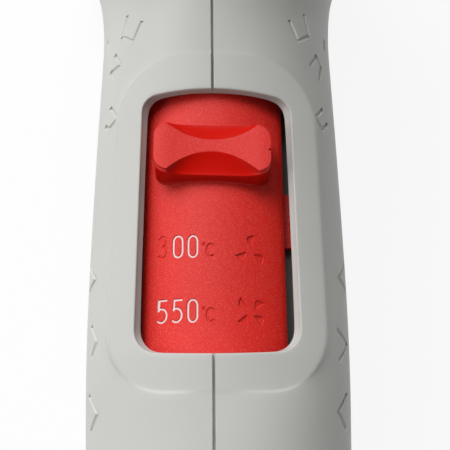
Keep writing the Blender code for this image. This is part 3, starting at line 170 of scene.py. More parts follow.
# Housing. Two halves injection moulded in light grey glass-filled nylon with a fine eroded
# texture, screwed together down the middle. The handle's skin carries the switch window, the
# flatter land round it and small recessed grip marks on its flanks.
BARREL_RADIUS = 35.6
REAR_RADIUS = 30.0
REAR_EDGE = 7.3
SHOULDER = 20.0
SHELL_FRONT = 152.0
NOSE_RADIUS = 28.0
NOSE_CHAMFER = 0.3
TAPER_START = 96.0
RING_INNER = 26.7
GRILLE_GROOVE = (8.7, 10.7)
DUCT_RIB = 28.5
DUCT_RIB_HEIGHTS = (63.8, 66.2)
BULKHEAD_HOLE = 17.9
BULKHEAD_HEIGHTS = (113.4, 115.6)
NOSE_GROOVE = (142.7, 144.9)
WALL = 2.5
HANDLE_FRONT = 22.0
HANDLE_END = 168.0
HANDLE_WALL = 2.2
FACE_WALL = 1.3
BUTT_WALL = 3.0
SEAM_PLACE = -0.55
HALF_SEAM = 0.19
SEAM_EASED = 0.62
SEAM_DEPTH = 1.0
END_ROUND = 5.0
END_DRAW_IN = 4.2
SECTIONS = (
    # s, half width, depth to the front and to the back, powers of the front and of the back
    (6.0, 28.6, 33.5, 31.5, 2.0, 2.0),
    (14.0, 28.4, 33.0, 31.5, 2.0, 2.0),
    (21.0, 27.6, 32.0, 31.4, 2.0, 2.0),
    (27.0, 26.2, 30.0, 31.2, 2.0, 2.0),
    (32.0, 24.8, 27.6, 30.8, 2.05, 2.05),
    (37.0, 23.4, 25.3, 30.1, 2.1, 2.1),
    (41.0, 22.4, 23.6, 29.1, 2.1, 2.2),
    (46.0, 21.75, 22.4, 27.3, 2.1, 2.3),
    (52.0, 21.45, HANDLE_FRONT, 25.0, 2.2, 2.4),
    (60.5, 21.4, HANDLE_FRONT, 23.4, 2.6, 2.4),
    (75.0, 21.55, HANDLE_FRONT, 23.0, 3.1, 2.4),
    (92.0, 21.85, HANDLE_FRONT, 23.5, 3.2, 2.4),
    (105.0, 22.0, HANDLE_FRONT, 24.0, 3.2, 2.4),
    (116.0, 21.93, HANDLE_FRONT, 24.3, 3.1, 2.4),
    (128.0, 21.75, HANDLE_FRONT, 24.4, 2.6, 2.4),
    (140.0, 21.5, HANDLE_FRONT, 24.0, 2.4, 2.5),
    (156.0, 21.1, 21.7, 23.0, 2.4, 2.6),
    (168.0, 20.6, 21.2, 22.2, 2.5, 2.7),
)
# Window, its throat below and the land round it: top, bottom, half widths at the top and the
# bottom, corner radii at the top and the bottom, arch of the ends
WINDOW = (70.05, 114.6, 12.2, 12.8, 2.3, 3.4, 0.0085)
THROAT = (70.05, 114.2, 11.05, 11.5, 2.3, 3.4, 0.011)
LAND = (63.5, 120.0, 16.35, 17.0, 11.0, 9.3, 0.002)
TOP_LEAN = 0.03
LAND_RISE = 0.35
LAND_FALL = 0.27
LAND_RADIUS = 48.0
LAND_EDGE = 0.8
# Share of the way up the land's edge, and of its rise there
LAND_STEPS = ((0.2, 0.13), (0.4, 0.42), (0.6, 0.74), (0.8, 0.94), (1.0, 1.0))
LIP_RADIUS = 0.32
THROAT_DEPTH = 2.18
WINDOW_DEPTH = 6.0
# Between these rows, and this many degrees up from each flank, the face is rings round the window
PATCH_TOP = 60.5
PATCH_BOTTOM = 123.0
PATCH_ANGLE = 36.0
MERGE_DISTANCE = 1e-7


def pick(thing):
    """Select one object alone and make it active."""
    bpy.ops.object.select_all(action="DESELECT")
    thing.select_set(True)
    bpy.context.view_layer.objects.active = thing


def add_piece(name, mesh):
    """Put a mesh in the scene as the one selected object."""
    thing = bpy.data.objects.new(name, mesh)
    bpy.context.scene.collection.objects.link(thing)
    pick(thing)
    return thing


def close_up(thing):
    """Merge the doubles of a closed mesh and turn its faces outwards."""
    bpy.ops.object.mode_set(mode="EDIT")
    bpy.ops.mesh.select_all(action="SELECT")
    bpy.ops.mesh.remove_doubles(threshold=MERGE_DISTANCE)
    bpy.ops.mesh.normals_make_consistent(inside=False)
    bpy.ops.object.mode_set(mode="OBJECT")
    return thing


def skin(name, points, faces):
    """A closed mesh from points in metres, its faces turned outwards."""
    mesh = bpy.data.meshes.new(name)
    mesh.from_pydata(points, [], faces)
    return close_up(add_piece(name, mesh))


def loft(name, rings):
    """Skin rings of equal counts one after another and close both ends."""
    count = len(rings[0])
    points = [point for ring in rings for point in ring]
    faces = []
    for row in range(len(rings) - 1):
        for step in range(count):
            after = (step + 1) % count
            low = row * count
            faces.append([low + step, low + after, low + count + after, low + count + step])
    faces += [list(range(count)), list(range(len(points) - count, len(points)))]
    return skin(name, points, faces)


def carve(thing, tool, operation="DIFFERENCE"):
    """Cut a tool out of a piece, or weld it on, and throw the tool away."""
    pick(thing)
    change = thing.modifiers.new("carve", "BOOLEAN")
    change.operation = operation
    change.solver = "EXACT"
    change.object = tool
    bpy.ops.object.modifier_apply(modifier=change.name)
    bpy.data.objects.remove(tool)


def one_tool(things):
    """Join cutters that don't touch into one."""
    bpy.ops.object.select_all(action="DESELECT")
    for thing in things:
        thing.select_set(True)
    bpy.context.view_layer.objects.active = things[0]
    bpy.ops.object.join()
    return things[0]


def through(place, column):
    """Smooth value of one column of the handle's sections."""
    last = len(SECTIONS) - 1
    place = min(max(place, SECTIONS[0][0]), SECTIONS[last][0])
    index = 0
    while index < last - 1 and SECTIONS[index + 1][0] < place:
        index += 1

    def slope(at):
        before = SECTIONS[max(at - 1, 0)]
        after = SECTIONS[min(at + 1, last)]
        return (after[column] - before[column]) / (after[0] - before[0])

    low = SECTIONS[index]
    high = SECTIONS[index + 1]
    span = high[0] - low[0]
    t = (place - low[0]) / span
    value = (2 * t ** 3 - 3 * t ** 2 + 1) * low[column] + (3 * t ** 2 - 2 * t ** 3) * high[column]
    value += (t ** 3 - 2 * t ** 2 + t) * span * slope(index)
    value += (t ** 3 - t ** 2) * span * slope(index + 1)
    return value


def section_sizes(s):
    """Half width, depths and powers of the handle's section at a place along it."""
    return [through(s, column) for column in range(1, 6)]


def round_handle(sizes, angle, inset=0.0, face_inset=None):
    """Across and height of a point of a section, at an angle from the right flank."""
    half_width, front, back, front_power, back_power = sizes
    across = math.cos(angle)
    rise = math.sin(angle)
    if rise >= 0.0:
        depth = front - (inset if face_inset is None else face_inset)
        power = front_power
    else:
        depth = back - inset
        power = back_power
    x = (half_width - inset) * math.copysign(abs(across) ** (2.0 / power), across)
    h = depth * math.copysign(abs(rise) ** (2.0 / power), rise)
    return x, h


def face_height(x, s):
    """Height of the handle's face over its axis, without the land."""
    half_width, front, _, power, _ = section_sizes(s)
    part = min(abs(x) / half_width, 1.0)
    return front * (1.0 - part ** power) ** (1.0 / power)


def land_height(x, s):
    """Height of the land, which falls a little towards its lower edge."""
    below = max(s - WINDOW[1], 0.0) / (LAND[1] - WINDOW[1])
    crown = HANDLE_FRONT + LAND_RISE - LAND_FALL * min(below, 1.0)
    return crown - LAND_RADIUS + math.sqrt(LAND_RADIUS ** 2 - x * x)


def frame_distance(shape, x, s):
    """Distance from the outline of the window or the land, negative inside it."""
    top, bottom, half_top, half_bottom, corner_top, corner_bottom, arch = shape
    part = min(max((s - top) / (bottom - top), 0.0), 1.0)
    half_width = half_top + (half_bottom - half_top) * part
    if s < 0.5 * (top + bottom):
        corner = corner_top
        rise = top + TOP_LEAN * x + arch * x * x - s
    else:
        corner = corner_bottom
        rise = s - bottom + 0.5 * arch * x * x
    beside = abs(x) - half_width + corner
    beyond = rise + corner
    inside = min(max(beside, beyond), 0.0)
    return inside + math.hypot(max(beside, 0.0), max(beyond, 0.0)) - corner


def handle_skin(fine, inset=0.0, window=True):
    """The handle's outside; with the window, its land, lip and drafted walls are in the skin."""
    front_steps = 24 * fine
    side_steps = 4 * fine
    back_steps = 16 * fine
    edge = math.radians(PATCH_ANGLE)
    angles = [edge * step / side_steps for step in range(side_steps)]
    angles += [edge + (math.pi - 2 * edge) * step / front_steps for step in range(front_steps)]
    angles += [math.pi - edge + edge * step / side_steps for step in range(side_steps)]
    angles += [math.pi + math.pi * step / back_steps for step in range(back_steps)]
    patch_rows = 16 * fine
    first = SECTIONS[0][0]
    rows = [first + (PATCH_TOP - first) * step / (15 * fine) for step in range(15 * fine)]
    first_row = len(rows)
    rows += [PATCH_TOP + (PATCH_BOTTOM - PATCH_TOP) * step / patch_rows
             for step in range(patch_rows)]
    last_row = len(rows)
    rows += [PATCH_BOTTOM + (HANDLE_END - END_ROUND - PATCH_BOTTOM) * step / (9 * fine)
             for step in range(9 * fine + 1)]
    insets = [inset] * len(rows)
    end_steps = 6
    for step in range(1, end_steps + 1):
        turn = 0.5 * math.pi * step / end_steps
        rows.append(HANDLE_END - END_ROUND + (END_ROUND - inset) * math.sin(turn))
        insets.append(inset + END_DRAW_IN * (1.0 - math.cos(turn)))
    points = []
    flat = []
    grid = []
    for s, row_inset in zip(rows, insets):
        sizes = section_sizes(s)
        grid.append(list(range(len(points), len(points) + len(angles))))
        for angle in angles:
            x, h = round_handle(sizes, angle, row_inset)
            points.append(on_handle(x, s, h))
            flat.append((x, s))
    first_column = side_steps
    last_column = side_steps + front_steps
    faces = []
    for row in range(len(rows) - 1):
        for column in range(len(angles)):
            patch = first_row <= row < last_row and first_column <= column < last_column
            if not (patch and window):
                after = (column + 1) % len(angles)
                faces.append([grid[row][column], grid[row][after],
                              grid[row + 1][after], grid[row + 1][column]])
    faces += [grid[0], grid[-1]]
    if not window:
        return skin("handle_skin", points, faces)

    border = [grid[first_row][column] for column in range(first_column, last_column)]
    border += [grid[row][last_column] for row in range(first_row, last_row)]
    border += [grid[last_row][column] for column in range(last_column, first_column, -1)]
    border += [grid[row][first_column] for row in range(last_row, first_row, -1)]
    middle = 0.5 * (WINDOW[0] + WINDOW[1])

    def reach(shape, level, end):
        """Share of the way from the window's middle to the border where a level is met."""
        low = 0.0
        high = 1.0
        for _ in range(26):
            part = 0.5 * (low + high)
            if frame_distance(shape, part * end[0], middle + part * (end[1] - middle)) < level:
                low = part
            else:
                high = part
        return low

    # A stop is a share of the way to the border, the rise onto the land and the depth below it
    rings = [[] for _ in range(24)]
    for corner in border:
        end = flat[corner]
        foot = reach(LAND, LAND_EDGE, end)
        top = reach(LAND, 0.0, end)
        lip = reach(WINDOW, LIP_RADIUS, end)
        stops = [(1.0 + (foot - 1.0) * part, 0.0, 0.0) for part in (0.3, 0.65, 1.0)]
        for part, rise in LAND_STEPS:
            stops.append((foot + (top - foot) * part, rise, 0.0))
        for part in (0.12, 0.35, 0.6, 0.85, 1.0):
            stops.append((top + (lip - top) * part, 1.0, 0.0))
        for step in range(1, 6):
            turn = 0.5 * math.pi * step / 5
            level = LIP_RADIUS * (1.0 - math.sin(turn))
            stops.append((reach(WINDOW, level, end), 1.0, LIP_RADIUS * (1.0 - math.cos(turn))))
        edge = reach(WINDOW, 0.0, end)
        throat = reach(THROAT, 0.0, end)
        for part in (0.25, 0.5, 0.75, 1.0):
            depth = LIP_RADIUS + THROAT_DEPTH * part
            stops.append((edge + (throat - edge) * part, 1.0, depth))
        stops.append((throat, 1.0, WINDOW_DEPTH))
        stops.append((0.5 * throat, 1.0, WINDOW_DEPTH))
        for ring, (part, rise, depth) in zip(rings, stops):
            x = part * end[0]
            s = middle + part * (end[1] - middle)
            h = land_height(x, s) - depth
            if rise < 1.0:
                h = face_height(x, s) * (1.0 - rise) + h * rise
            ring.append(len(points))
            points.append(on_handle(x, s, h))
    outer = border
    for ring in rings:
        for step in range(len(border)):
            after = (step + 1) % len(border)
            faces.append([outer[step], outer[after], ring[after], ring[step]])
        outer = ring
    faces.append(outer)
    return skin("handle_skin", points, faces)


def turned(name, profile, steps):
    """Spin a profile of (radius, height) in millimetres round the barrel's axis."""
    edges = [(index, index + 1) for index in range(len(profile) - 1)]
    mesh = bpy.data.meshes.new(name)
    mesh.from_pydata([(radius * MM, 0.0, height * MM) for radius, height in profile], edges, [])
    thing = add_piece(name, mesh)
    screw = thing.modifiers.new("spin", "SCREW")
    screw.steps = steps
    screw.render_steps = steps
    screw.use_merge_vertices = True
    screw.merge_threshold = MERGE_DISTANCE
    bpy.ops.object.modifier_apply(modifier=screw.name)
    return close_up(thing)


def barrel_radius(z):
    """Outer radius of the barrel: rounded shoulder, straight, then an easy taper to the nose."""
    if z <= REAR_EDGE + SHOULDER:
        left = 1.0 - max(z - REAR_EDGE, 0.0) / SHOULDER
        return REAR_RADIUS + (BARREL_RADIUS - REAR_RADIUS) * math.sqrt(1.0 - left * left)
    if z <= TAPER_START:
        return BARREL_RADIUS
    t = (z - TAPER_START) / (SHELL_FRONT - TAPER_START)
    ease = 1.25 * t * t - 0.25 * t ** 4
    return BARREL_RADIUS - (BARREL_RADIUS - NOSE_RADIUS) * (0.18 * t + 0.82 * ease)


def shoulder_heights(steps):
    """Heights of the rings that round the rear shoulder."""
    return [REAR_EDGE + SHOULDER * (1.0 - math.cos(0.5 * math.pi * step / steps))
            for step in range(steps + 1)]


def barrel_skin(steps, inset=0.0):
    """The barrel's outside, closed at both ends, its nose edge chamfered."""
    heights = shoulder_heights(16)
    straight = REAR_EDGE + SHOULDER
    front = SHELL_FRONT - NOSE_CHAMFER
    heights += [straight + (front - straight) * step / 48 for step in range(1, 49)]
    profile = [(0.0, REAR_EDGE + inset)]
    profile += [(barrel_radius(z) - inset, z + (inset if z < REAR_EDGE + 3.0 else 0.0))
                for z in heights]
    profile += [(NOSE_RADIUS - inset - NOSE_CHAMFER, SHELL_FRONT), (0.0, SHELL_FRONT)]
    return turned("barrel_skin", profile, steps)


def handle_room():
    """The room inside the handle, as a coarse loft."""
    rings = []
    rows = [6.0 + 3.0 * step for step in range(23)] + [84.0, 100.0, 116.0, 132.0, 150.0]
    inner_end = HANDLE_END - BUTT_WALL
    for s, extra in [(s, 0.0) for s in rows] + [(inner_end - 2.5, 0.3), (inner_end, 2.2)]:
        sizes = section_sizes(s)
        ring = []
        for step in range(64):
            angle = 2.0 * math.pi * step / 64
            x, h = round_handle(sizes, angle, HANDLE_WALL + extra, FACE_WALL + extra)
            ring.append(on_handle(x, s, h))
        rings.append(ring)
    return loft("handle_room", rings)


def barrel_room(steps):
    """The room inside the barrel: grille groove, duct rib, bulkhead, lip for the nose guard."""
    groove = RING_INNER + 1.8
    lip = NOSE_RADIUS - WALL
    low, high = GRILLE_GROOVE
    profile = [(0.0, -1.0), (RING_INNER, -1.0), (RING_INNER, low), (groove, low), (groove, high)]
    profile.append((barrel_radius(high) - WALL, high))
    profile += [(barrel_radius(z) - WALL, z) for z in shoulder_heights(12) if z > 12.0]
    inside = BARREL_RADIUS - WALL
    low, high = DUCT_RIB_HEIGHTS
    profile += [(inside, low), (DUCT_RIB, low), (DUCT_RIB, high), (inside, high)]
    low, high = BULKHEAD_HEIGHTS
    profile += [(barrel_radius(z) - WALL, z) for z in (TAPER_START, 102.0, 108.0, low)]
    profile += [(BULKHEAD_HOLE, low), (BULKHEAD_HOLE, high)]
    profile += [(barrel_radius(z) - WALL, z) for z in (high, 121.0, 127.0, 133.0)]
    low, high = NOSE_GROOVE
    profile += [(lip + 1.6, low), (lip + 1.6, high), (lip, high), (lip, SHELL_FRONT + 1.0)]
    profile.append((0.0, SHELL_FRONT + 1.0))
    return turned("barrel_room", profile, steps)


# Middles of the housing's screws as (y, z): four in the barrel, then three down the handle
SCREW_MIDDLES = [(28.2, 30.0), (-30.2, 15.5), (24.0, 124.0), (-24.0, 124.0)]
for s, h in ((57.0, -13.0), (128.0, -15.0), (156.0, 13.5)):
    spot = on_handle(0.0, s, h) / MM
    SCREW_MIDDLES.append((spot.y, spot.z))


def cross_bar(name, steps, middle):
    """A stepped round bar across the housing: steps are (x, radius), the middle is (y, z)."""
    profile = [(0.0, steps[0][0])] + [(radius, x) for x, radius in steps] + [(0.0, steps[-1][0])]
    bar = turned(name, profile, 40)
    place = Matrix.Translation(Vector((0.0, middle[0], middle[1])) * MM)
    bar.data.transform(place @ Matrix.Rotation(math.pi / 2, 4, "Y"))
    return bar


def box(name, low, high):
    """A plain box tool between two corners, in millimetres."""
    size = Vector(high) - Vector(low)
    bpy.ops.mesh.primitive_cube_add(size=1.0, location=(Vector(low) + size / 2) * MM)
    thing = bpy.context.object
    thing.name = name
    thing.scale = size * MM
    bpy.ops.object.transform_apply(location=True, rotation=True, scale=True)
    return thing


# Outer skin: the handle welded to the barrel, the joint between them eased like a fillet. The
# joint is where a point lies on both skins
JOINT_REACH = 7.0
shell = barrel_skin(144)
carve(shell, handle_skin(3), "UNION")
joint = KDTree(len(shell.data.vertices))
for vertex in shell.data.vertices:
    spot = vertex.co / MM
    off_axis = math.hypot(spot.x, spot.y)
    s = (spot - Vector((0.0, 0.0, HANDLE_HEIGHT))).dot(DOWN_HANDLE) - HANDLE_ROOT
    h = (spot - Vector((0.0, 0.0, HANDLE_HEIGHT))).dot(OFF_FACE)
    if 6.5 < s < 60.0 and abs(off_axis - barrel_radius(spot.z)) < 0.04:
        half_width, front, back, front_power, back_power = section_sizes(s)
        depth, power = (front, front_power) if h >= 0.0 else (back, back_power)
        shape = (abs(spot.x) / half_width) ** power + (abs(h) / depth) ** power
        if abs(shape - 1.0) < 0.012:
            joint.insert(vertex.co, vertex.index)
joint.balance()
eased = shell.vertex_groups.new(name="joint")
for vertex in shell.data.vertices:
    _, _, away = joint.find(vertex.co)
    if away is not None and away < JOINT_REACH * MM:
        eased.add([vertex.index], 1.0 - (away / (JOINT_REACH * MM)) ** 2, "REPLACE")
pick(shell)
smooth = shell.modifiers.new("ease", "SMOOTH")
smooth.vertex_group = "joint"
smooth.factor = 0.6
smooth.iterations = 24
bpy.ops.object.modifier_apply(modifier=smooth.name)

# Inside: one room for motor, duct and switch, with the screw bosses left standing in it
inside = barrel_room(72)
carve(inside, handle_room(), "UNION")
BOSS_STEPS = ((-60.0, 3.8), (SEAM_PLACE, 3.8), (SEAM_PLACE, 4.6), (60.0, 4.6))
carve(inside, one_tool([cross_bar("boss", BOSS_STEPS, middle) for middle in SCREW_MIDDLES]))
carve(shell, inside)

# Screw holes with counterbores on the right, air slots on both sides, the cord's hole
HOLE_STEPS = ((-10.5, 1.65), (10.0, 1.65), (10.0, 3.4), (60.0, 3.4))
SLOT_TOP = 42.8
SLOT_BOTTOM = 17.7
SLOT_HALF_WIDTH = 1.2
SLOT_SPACING = math.radians(13.5)
SLOT_REACH = (30.0, 43.0)
CORD_HOLE_RADIUS = 7.0
holes = [cross_bar("screw_hole", HOLE_STEPS, middle) for middle in SCREW_MIDDLES]
slot_outline = []
for end, start in ((SLOT_TOP, 0.0), (SLOT_BOTTOM, math.pi)):
    for corner in range(9):
        turn = start + math.pi * corner / 8
        across = SLOT_HALF_WIDTH * math.cos(turn)
        slot_outline.append((across, end + SLOT_HALF_WIDTH * math.sin(turn)))
for side in (0.0, math.pi):
    for step in range(-2, 3):
        slot = loft("air_slot", [[Vector((reach, y, z)) * MM for y, z in slot_outline]
                                 for reach in SLOT_REACH])
        slot.data.transform(Matrix.Rotation(side + SLOT_SPACING * step, 4, "Z"))
        holes.append(slot)
cord_profile = [(0.0, HANDLE_END - 6.0), (CORD_HOLE_RADIUS, HANDLE_END - 6.0),
                (CORD_HOLE_RADIUS, HANDLE_END + 2.0), (0.0, HANDLE_END + 2.0)]
cord_hole = turned("cord_hole", cord_profile, 48)
turn_down = Matrix.Rotation(math.pi / 2 + HANDLE_SLOPE, 4, "X")
cord_hole.data.transform(Matrix.Translation(on_handle(0.0, 0.0, 0.0)) @ turn_down)
holes.append(cord_hole)
carve(shell, one_tool(holes))

# Grip marks: short recessed strokes down both flanks, one to three in a mark. A mark is a path
# of (s, degrees round from the flank's middle towards the face)
MARK_WIDTH = 0.8
MARK_DEPTH = 0.32
MARK_SLANT = 0.8
MARK_ROWS = range(62, 152, 11)
MARK_COLUMNS = (2.0, -28.0, -55.0)
CUTTER_PROUD = 0.25
BOTH_FLANKS = (
    ((52.4, 44.5), (56.4, 43.1), (58.7, 52.9), (55.2, 56.0)),
    ((54.0, 23.7), (56.0, 25.2)),
    ((96.4, 14.0), (100.6, 32.7), (101.8, 19.5)),
    ((119.4, 26.7), (122.5, 37.1), (124.6, 27.8)),
    ((131.0, 34.0), (133.4, 25.0), (136.0, 33.0)),
    ((142.5, 26.0), (145.4, 35.0), (147.6, 27.5)),
)
LEFT_FLANK = (
    ((59.7, 38.5), (62.4, 44.8), (62.7, 35.1), (64.7, 39.2)),
    ((70.6, 39.8), (73.4, 47.5), (74.4, 39.0), (73.6, 35.1)),
    ((108.5, 29.7), (111.1, 37.3), (113.0, 30.8)),
)
RIGHT_FLANK = (
    ((62.8, 45.3), (60.1, 38.6), (61.8, 34.4), (64.7, 37.9)),
    ((71.1, 39.3), (73.3, 47.4), (75.0, 40.3), (73.3, 34.4)),
    ((109.7, 37.2), (111.2, 23.1), (114.4, 35.9)),
)


def sweep(name, places, outs, width, depth, proud, closed=False, slant=0.3):
    """A cutter along places: width at the skin, drawn in by slant to its floor, joints mitred."""
    count = len(places)
    runs = []
    for index in range(count if closed else count - 1):
        runs.append((places[(index + 1) % count] - places[index]).normalized())
    rings = []
    for index, (spot, out) in enumerate(zip(places, outs)):
        before = runs[index - 1] if closed or index else runs[0]
        after = runs[index] if closed or index < count - 1 else runs[-1]
        side = (before + after).normalized().cross(out).normalized()
        mitre = 1.0 / max(side.dot(after.cross(out).normalized()), 0.4)
        past = Vector()
        if not closed and index in (0, count - 1):
            past = (after if index else -after) * 0.5 * width
        ring = []
        for half, level in ((0.5 * width - slant * depth, -depth), (0.5 * width + proud, proud)):
            for turn in ((-1.0, 1.0) if level < 0.0 else (1.0, -1.0)):
                ring.append((spot + past + side * turn * half * mitre + out * level) * MM)
        rings.append(ring)
    points = [point for ring in rings for point in ring]
    faces = [] if closed else [[0, 1, 2, 3], [4 * count - 4 + corner for corner in range(4)]]
    for row in range(count if closed else count - 1):
        high = (row + 1) % count * 4
        for step in range(4):
            after = (step + 1) % 4
            faces.append([row * 4 + step, row * 4 + after, high + after, high + step])
    return skin(name, points, faces)


def flank_stroke(start, end, side):
    """Cutter for one stroke between two (s, degrees), bent to the handle's curve."""
    places = []
    outs = []
    steps = 5
    for step in range(steps + 1):
        s = start[0] + (end[0] - start[0]) * step / steps
        angle = math.radians(start[1] + (end[1] - start[1]) * step / steps)
        x, h = round_handle(section_sizes(s), angle)
        x_on, h_on = round_handle(section_sizes(s), angle + 0.01)
        out = Vector((h_on - h, 0.0, x - x_on)).normalized()
        spot = on_handle(side * x, s, h) / MM
        places.append(spot)
        outs.append(on_handle(side * (x + out.x), s, h + out.z) / MM - spot)
    return sweep("stroke", places, outs, MARK_WIDTH, MARK_DEPTH, CUTTER_PROUD, slant=MARK_SLANT)


# Each mark of the pattern further round is a small v, turned about from one to the next. Strokes
# that meet are cut in turn, those that don't are cut together
paths = [(path, side) for path in BOTH_FLANKS for side in (-1.0, 1.0)]
paths += [(path, -1.0) for path in LEFT_FLANK] + [(path, 1.0) for path in RIGHT_FLANK]
for row, s in enumerate(MARK_ROWS):
    for column, angle in enumerate(MARK_COLUMNS):
        tip = angle + (6.0 if (row + column) % 2 else -6.0)
        path = ((s, tip), (s + 2.6, angle), (s + 5.2, tip))
        paths += [(path, side) for side in (-1.0, 1.0)]
for turn in range(3):
    strokes = [flank_stroke(path[turn], path[turn + 1], side)
               for path, side in paths if len(path) > turn + 1]
    carve(shell, one_tool(strokes))

# The seam's edges are eased on the handle's face, above and below the window
SEAM_ENDS = (44.0, 160.0)
SEAM_CHAMFER = 0.17
for first, last in ((SEAM_ENDS[0], WINDOW[0] - 0.6), (WINDOW[1] + 0.6, SEAM_ENDS[1])):
    places = []
    outs = []
    steps = int(last - first)
    for step in range(steps + 1):
        s = first + (last - first) * step / steps
        start = on_handle(SEAM_PLACE, s, 60.0)
        hit, spot, _, _ = shell.ray_cast(start, -OFF_FACE)
        if hit:
            places.append(spot / MM)
            outs.append(OFF_FACE)
    eased_edge = sweep("seam_edge", places, outs, SEAM_EASED, SEAM_CHAMFER, CUTTER_PROUD, slant=1.0)
    carve(shell, eased_edge)

# The two halves: the left one has a tongue that closes the seam a millimetre down
FAR = 300.0
core = barrel_skin(72, SEAM_DEPTH)
carve(core, handle_skin(1, SEAM_DEPTH, window=False), "UNION")
seam_left = SEAM_PLACE - HALF_SEAM
seam_right = SEAM_PLACE + HALF_SEAM
groove = box("groove", (seam_left, -FAR, -FAR), (seam_right + 0.1, FAR, FAR))
carve(groove, core)
left_half = add_piece("left_half", shell.data.copy())
right_half = shell
right_half.name = "right_half"
carve(left_half, box("cut", (seam_right - 0.03, -FAR, -FAR), (FAR, FAR, FAR)))
carve(left_half, groove)
carve(right_half, box("cut", (-FAR, -FAR, -FAR), (seam_right, FAR, FAR)))


# Finishes of the moulded pieces. One group gives the grain of the eroded mould and a wide, slight
# mottle, and each plastic sets its own colour, gloss and size of grain
grain = bpy.data.node_groups.new("eroded_grain", "ShaderNodeTree")
grain.interface.new_socket("Grains per Metre", in_out="INPUT", socket_type="NodeSocketFloat")
grain.interface.new_socket("Height", in_out="OUTPUT", socket_type="NodeSocketFloat")
grain.interface.new_socket("Mottle", in_out="OUTPUT", socket_type="NodeSocketFloat")
grain_in = grain.nodes.new("NodeGroupInput")
grain_out = grain.nodes.new("NodeGroupOutput")
grain_place = grain.nodes.new("ShaderNodeTexCoord")
grain_noise = grain.nodes.new("ShaderNodeTexNoise")
grain_noise.inputs["Detail"].default_value = 3.0
grain_noise.inputs["Roughness"].default_value = 0.65
mottle_noise = grain.nodes.new("ShaderNodeTexNoise")
mottle_noise.inputs["Scale"].default_value = 55.0
mottle_noise.inputs["Detail"].default_value = 4.0
grain.links.new(grain_place.outputs["Object"], grain_noise.inputs["Vector"])
grain.links.new(grain_in.outputs["Grains per Metre"], grain_noise.inputs["Scale"])
grain.links.new(grain_place.outputs["Object"], mottle_noise.inputs["Vector"])
grain.links.new(grain_noise.outputs["Fac"], grain_out.inputs["Height"])
grain.links.new(mottle_noise.outputs["Fac"], grain_out.inputs["Mottle"])


def moulded(name, colour, roughness, grains=2600.0, depth=0.00003, speckle=0.06, metallic=0.0,
            specular=0.5, painted_glint=None, bounce=None):
    """A finish with a slight mottle and the mould's grain in its gloss and relief.

    The paler colour on the grain's tips is a painted highlight, the grain's glints painted in; a
    bounce is the colour of the light it throws back.
    """
    paint = bpy.data.materials.new(name)
    paint.use_nodes = True
    nodes = paint.node_tree.nodes
    links = paint.node_tree.links
    shader = nodes["Principled BSDF"]
    shader.inputs["Metallic"].default_value = metallic
    shader.inputs["Specular IOR Level"].default_value = specular
    texture = nodes.new("ShaderNodeGroup")
    texture.node_tree = grain
    texture.inputs["Grains per Metre"].default_value = grains
    tint = nodes.new("ShaderNodeMix")
    tint.data_type = "RGBA"
    darker = [channel * (1.0 - speckle) for channel in colour]
    lighter = [min(1.0, channel * (1.0 + speckle)) for channel in colour]
    tint.inputs["A"].default_value = (*darker, 1.0)
    tint.inputs["B"].default_value = (*lighter, 1.0)
    links.new(texture.outputs["Mottle"], tint.inputs["Factor"])
    shown = tint
    # Painted highlight: a paler colour on the grain's tips stands for the glints of the grain
    if painted_glint:
        glint_dots = nodes.new("ShaderNodeMapRange")
        glint_dots.inputs["From Min"].default_value = 0.5
        glint_dots.inputs["From Max"].default_value = 0.66
        glint_dots.inputs["To Max"].default_value = 0.75
        links.new(texture.outputs["Height"], glint_dots.inputs["Value"])
        shown = nodes.new("ShaderNodeMix")
        shown.data_type = "RGBA"
        shown.inputs["B"].default_value = (*painted_glint, 1.0)
        links.new(glint_dots.outputs["Result"], shown.inputs["Factor"])
        links.new(tint.outputs["Result"], shown.inputs["A"])
    if bounce:
        ray = nodes.new("ShaderNodeLightPath")
        muted = nodes.new("ShaderNodeMix")
        muted.data_type = "RGBA"
        muted.inputs["B"].default_value = (*bounce, 1.0)
        links.new(ray.outputs["Is Diffuse Ray"], muted.inputs["Factor"])
        links.new(shown.outputs["Result"], muted.inputs["A"])
        shown = muted
    links.new(shown.outputs["Result"], shader.inputs["Base Color"])
    gloss = nodes.new("ShaderNodeMapRange")
    gloss.inputs["To Min"].default_value = roughness - 0.05
    gloss.inputs["To Max"].default_value = roughness + 0.07
    links.new(texture.outputs["Height"], gloss.inputs["Value"])
    links.new(gloss.outputs["Result"], shader.inputs["Roughness"])
    bump = nodes.new("ShaderNodeBump")
    bump.inputs["Strength"].default_value = 0.6
    bump.inputs["Distance"].default_value = depth
    links.new(texture.outputs["Height"], bump.inputs["Height"])
    links.new(bump.outputs["Normal"], shader.inputs["Normal"])
    return paint


def finish_piece(thing, paint, body, record_slot, *nodes, sharp=35.0):
    """Shade a piece, paint it if a finish is given, seat it on its body in place of CAD nodes."""
    if paint:
        thing.data.materials.clear()
        thing.data.materials.append(paint)
    pick(thing)
    bpy.ops.object.shade_smooth_by_angle(angle=math.radians(sharp))
    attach(thing, body)
    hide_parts(*nodes)


grey_nylon = moulded("grey_nylon", (0.63, 0.63, 0.6), 0.52, grains=2400.0, speckle=0.03)
finish_piece(left_half, grey_nylon, "housing", "housing_grey", "left_shell")
finish_piece(right_half, grey_nylon, "housing", "housing_grey", "right_shell")


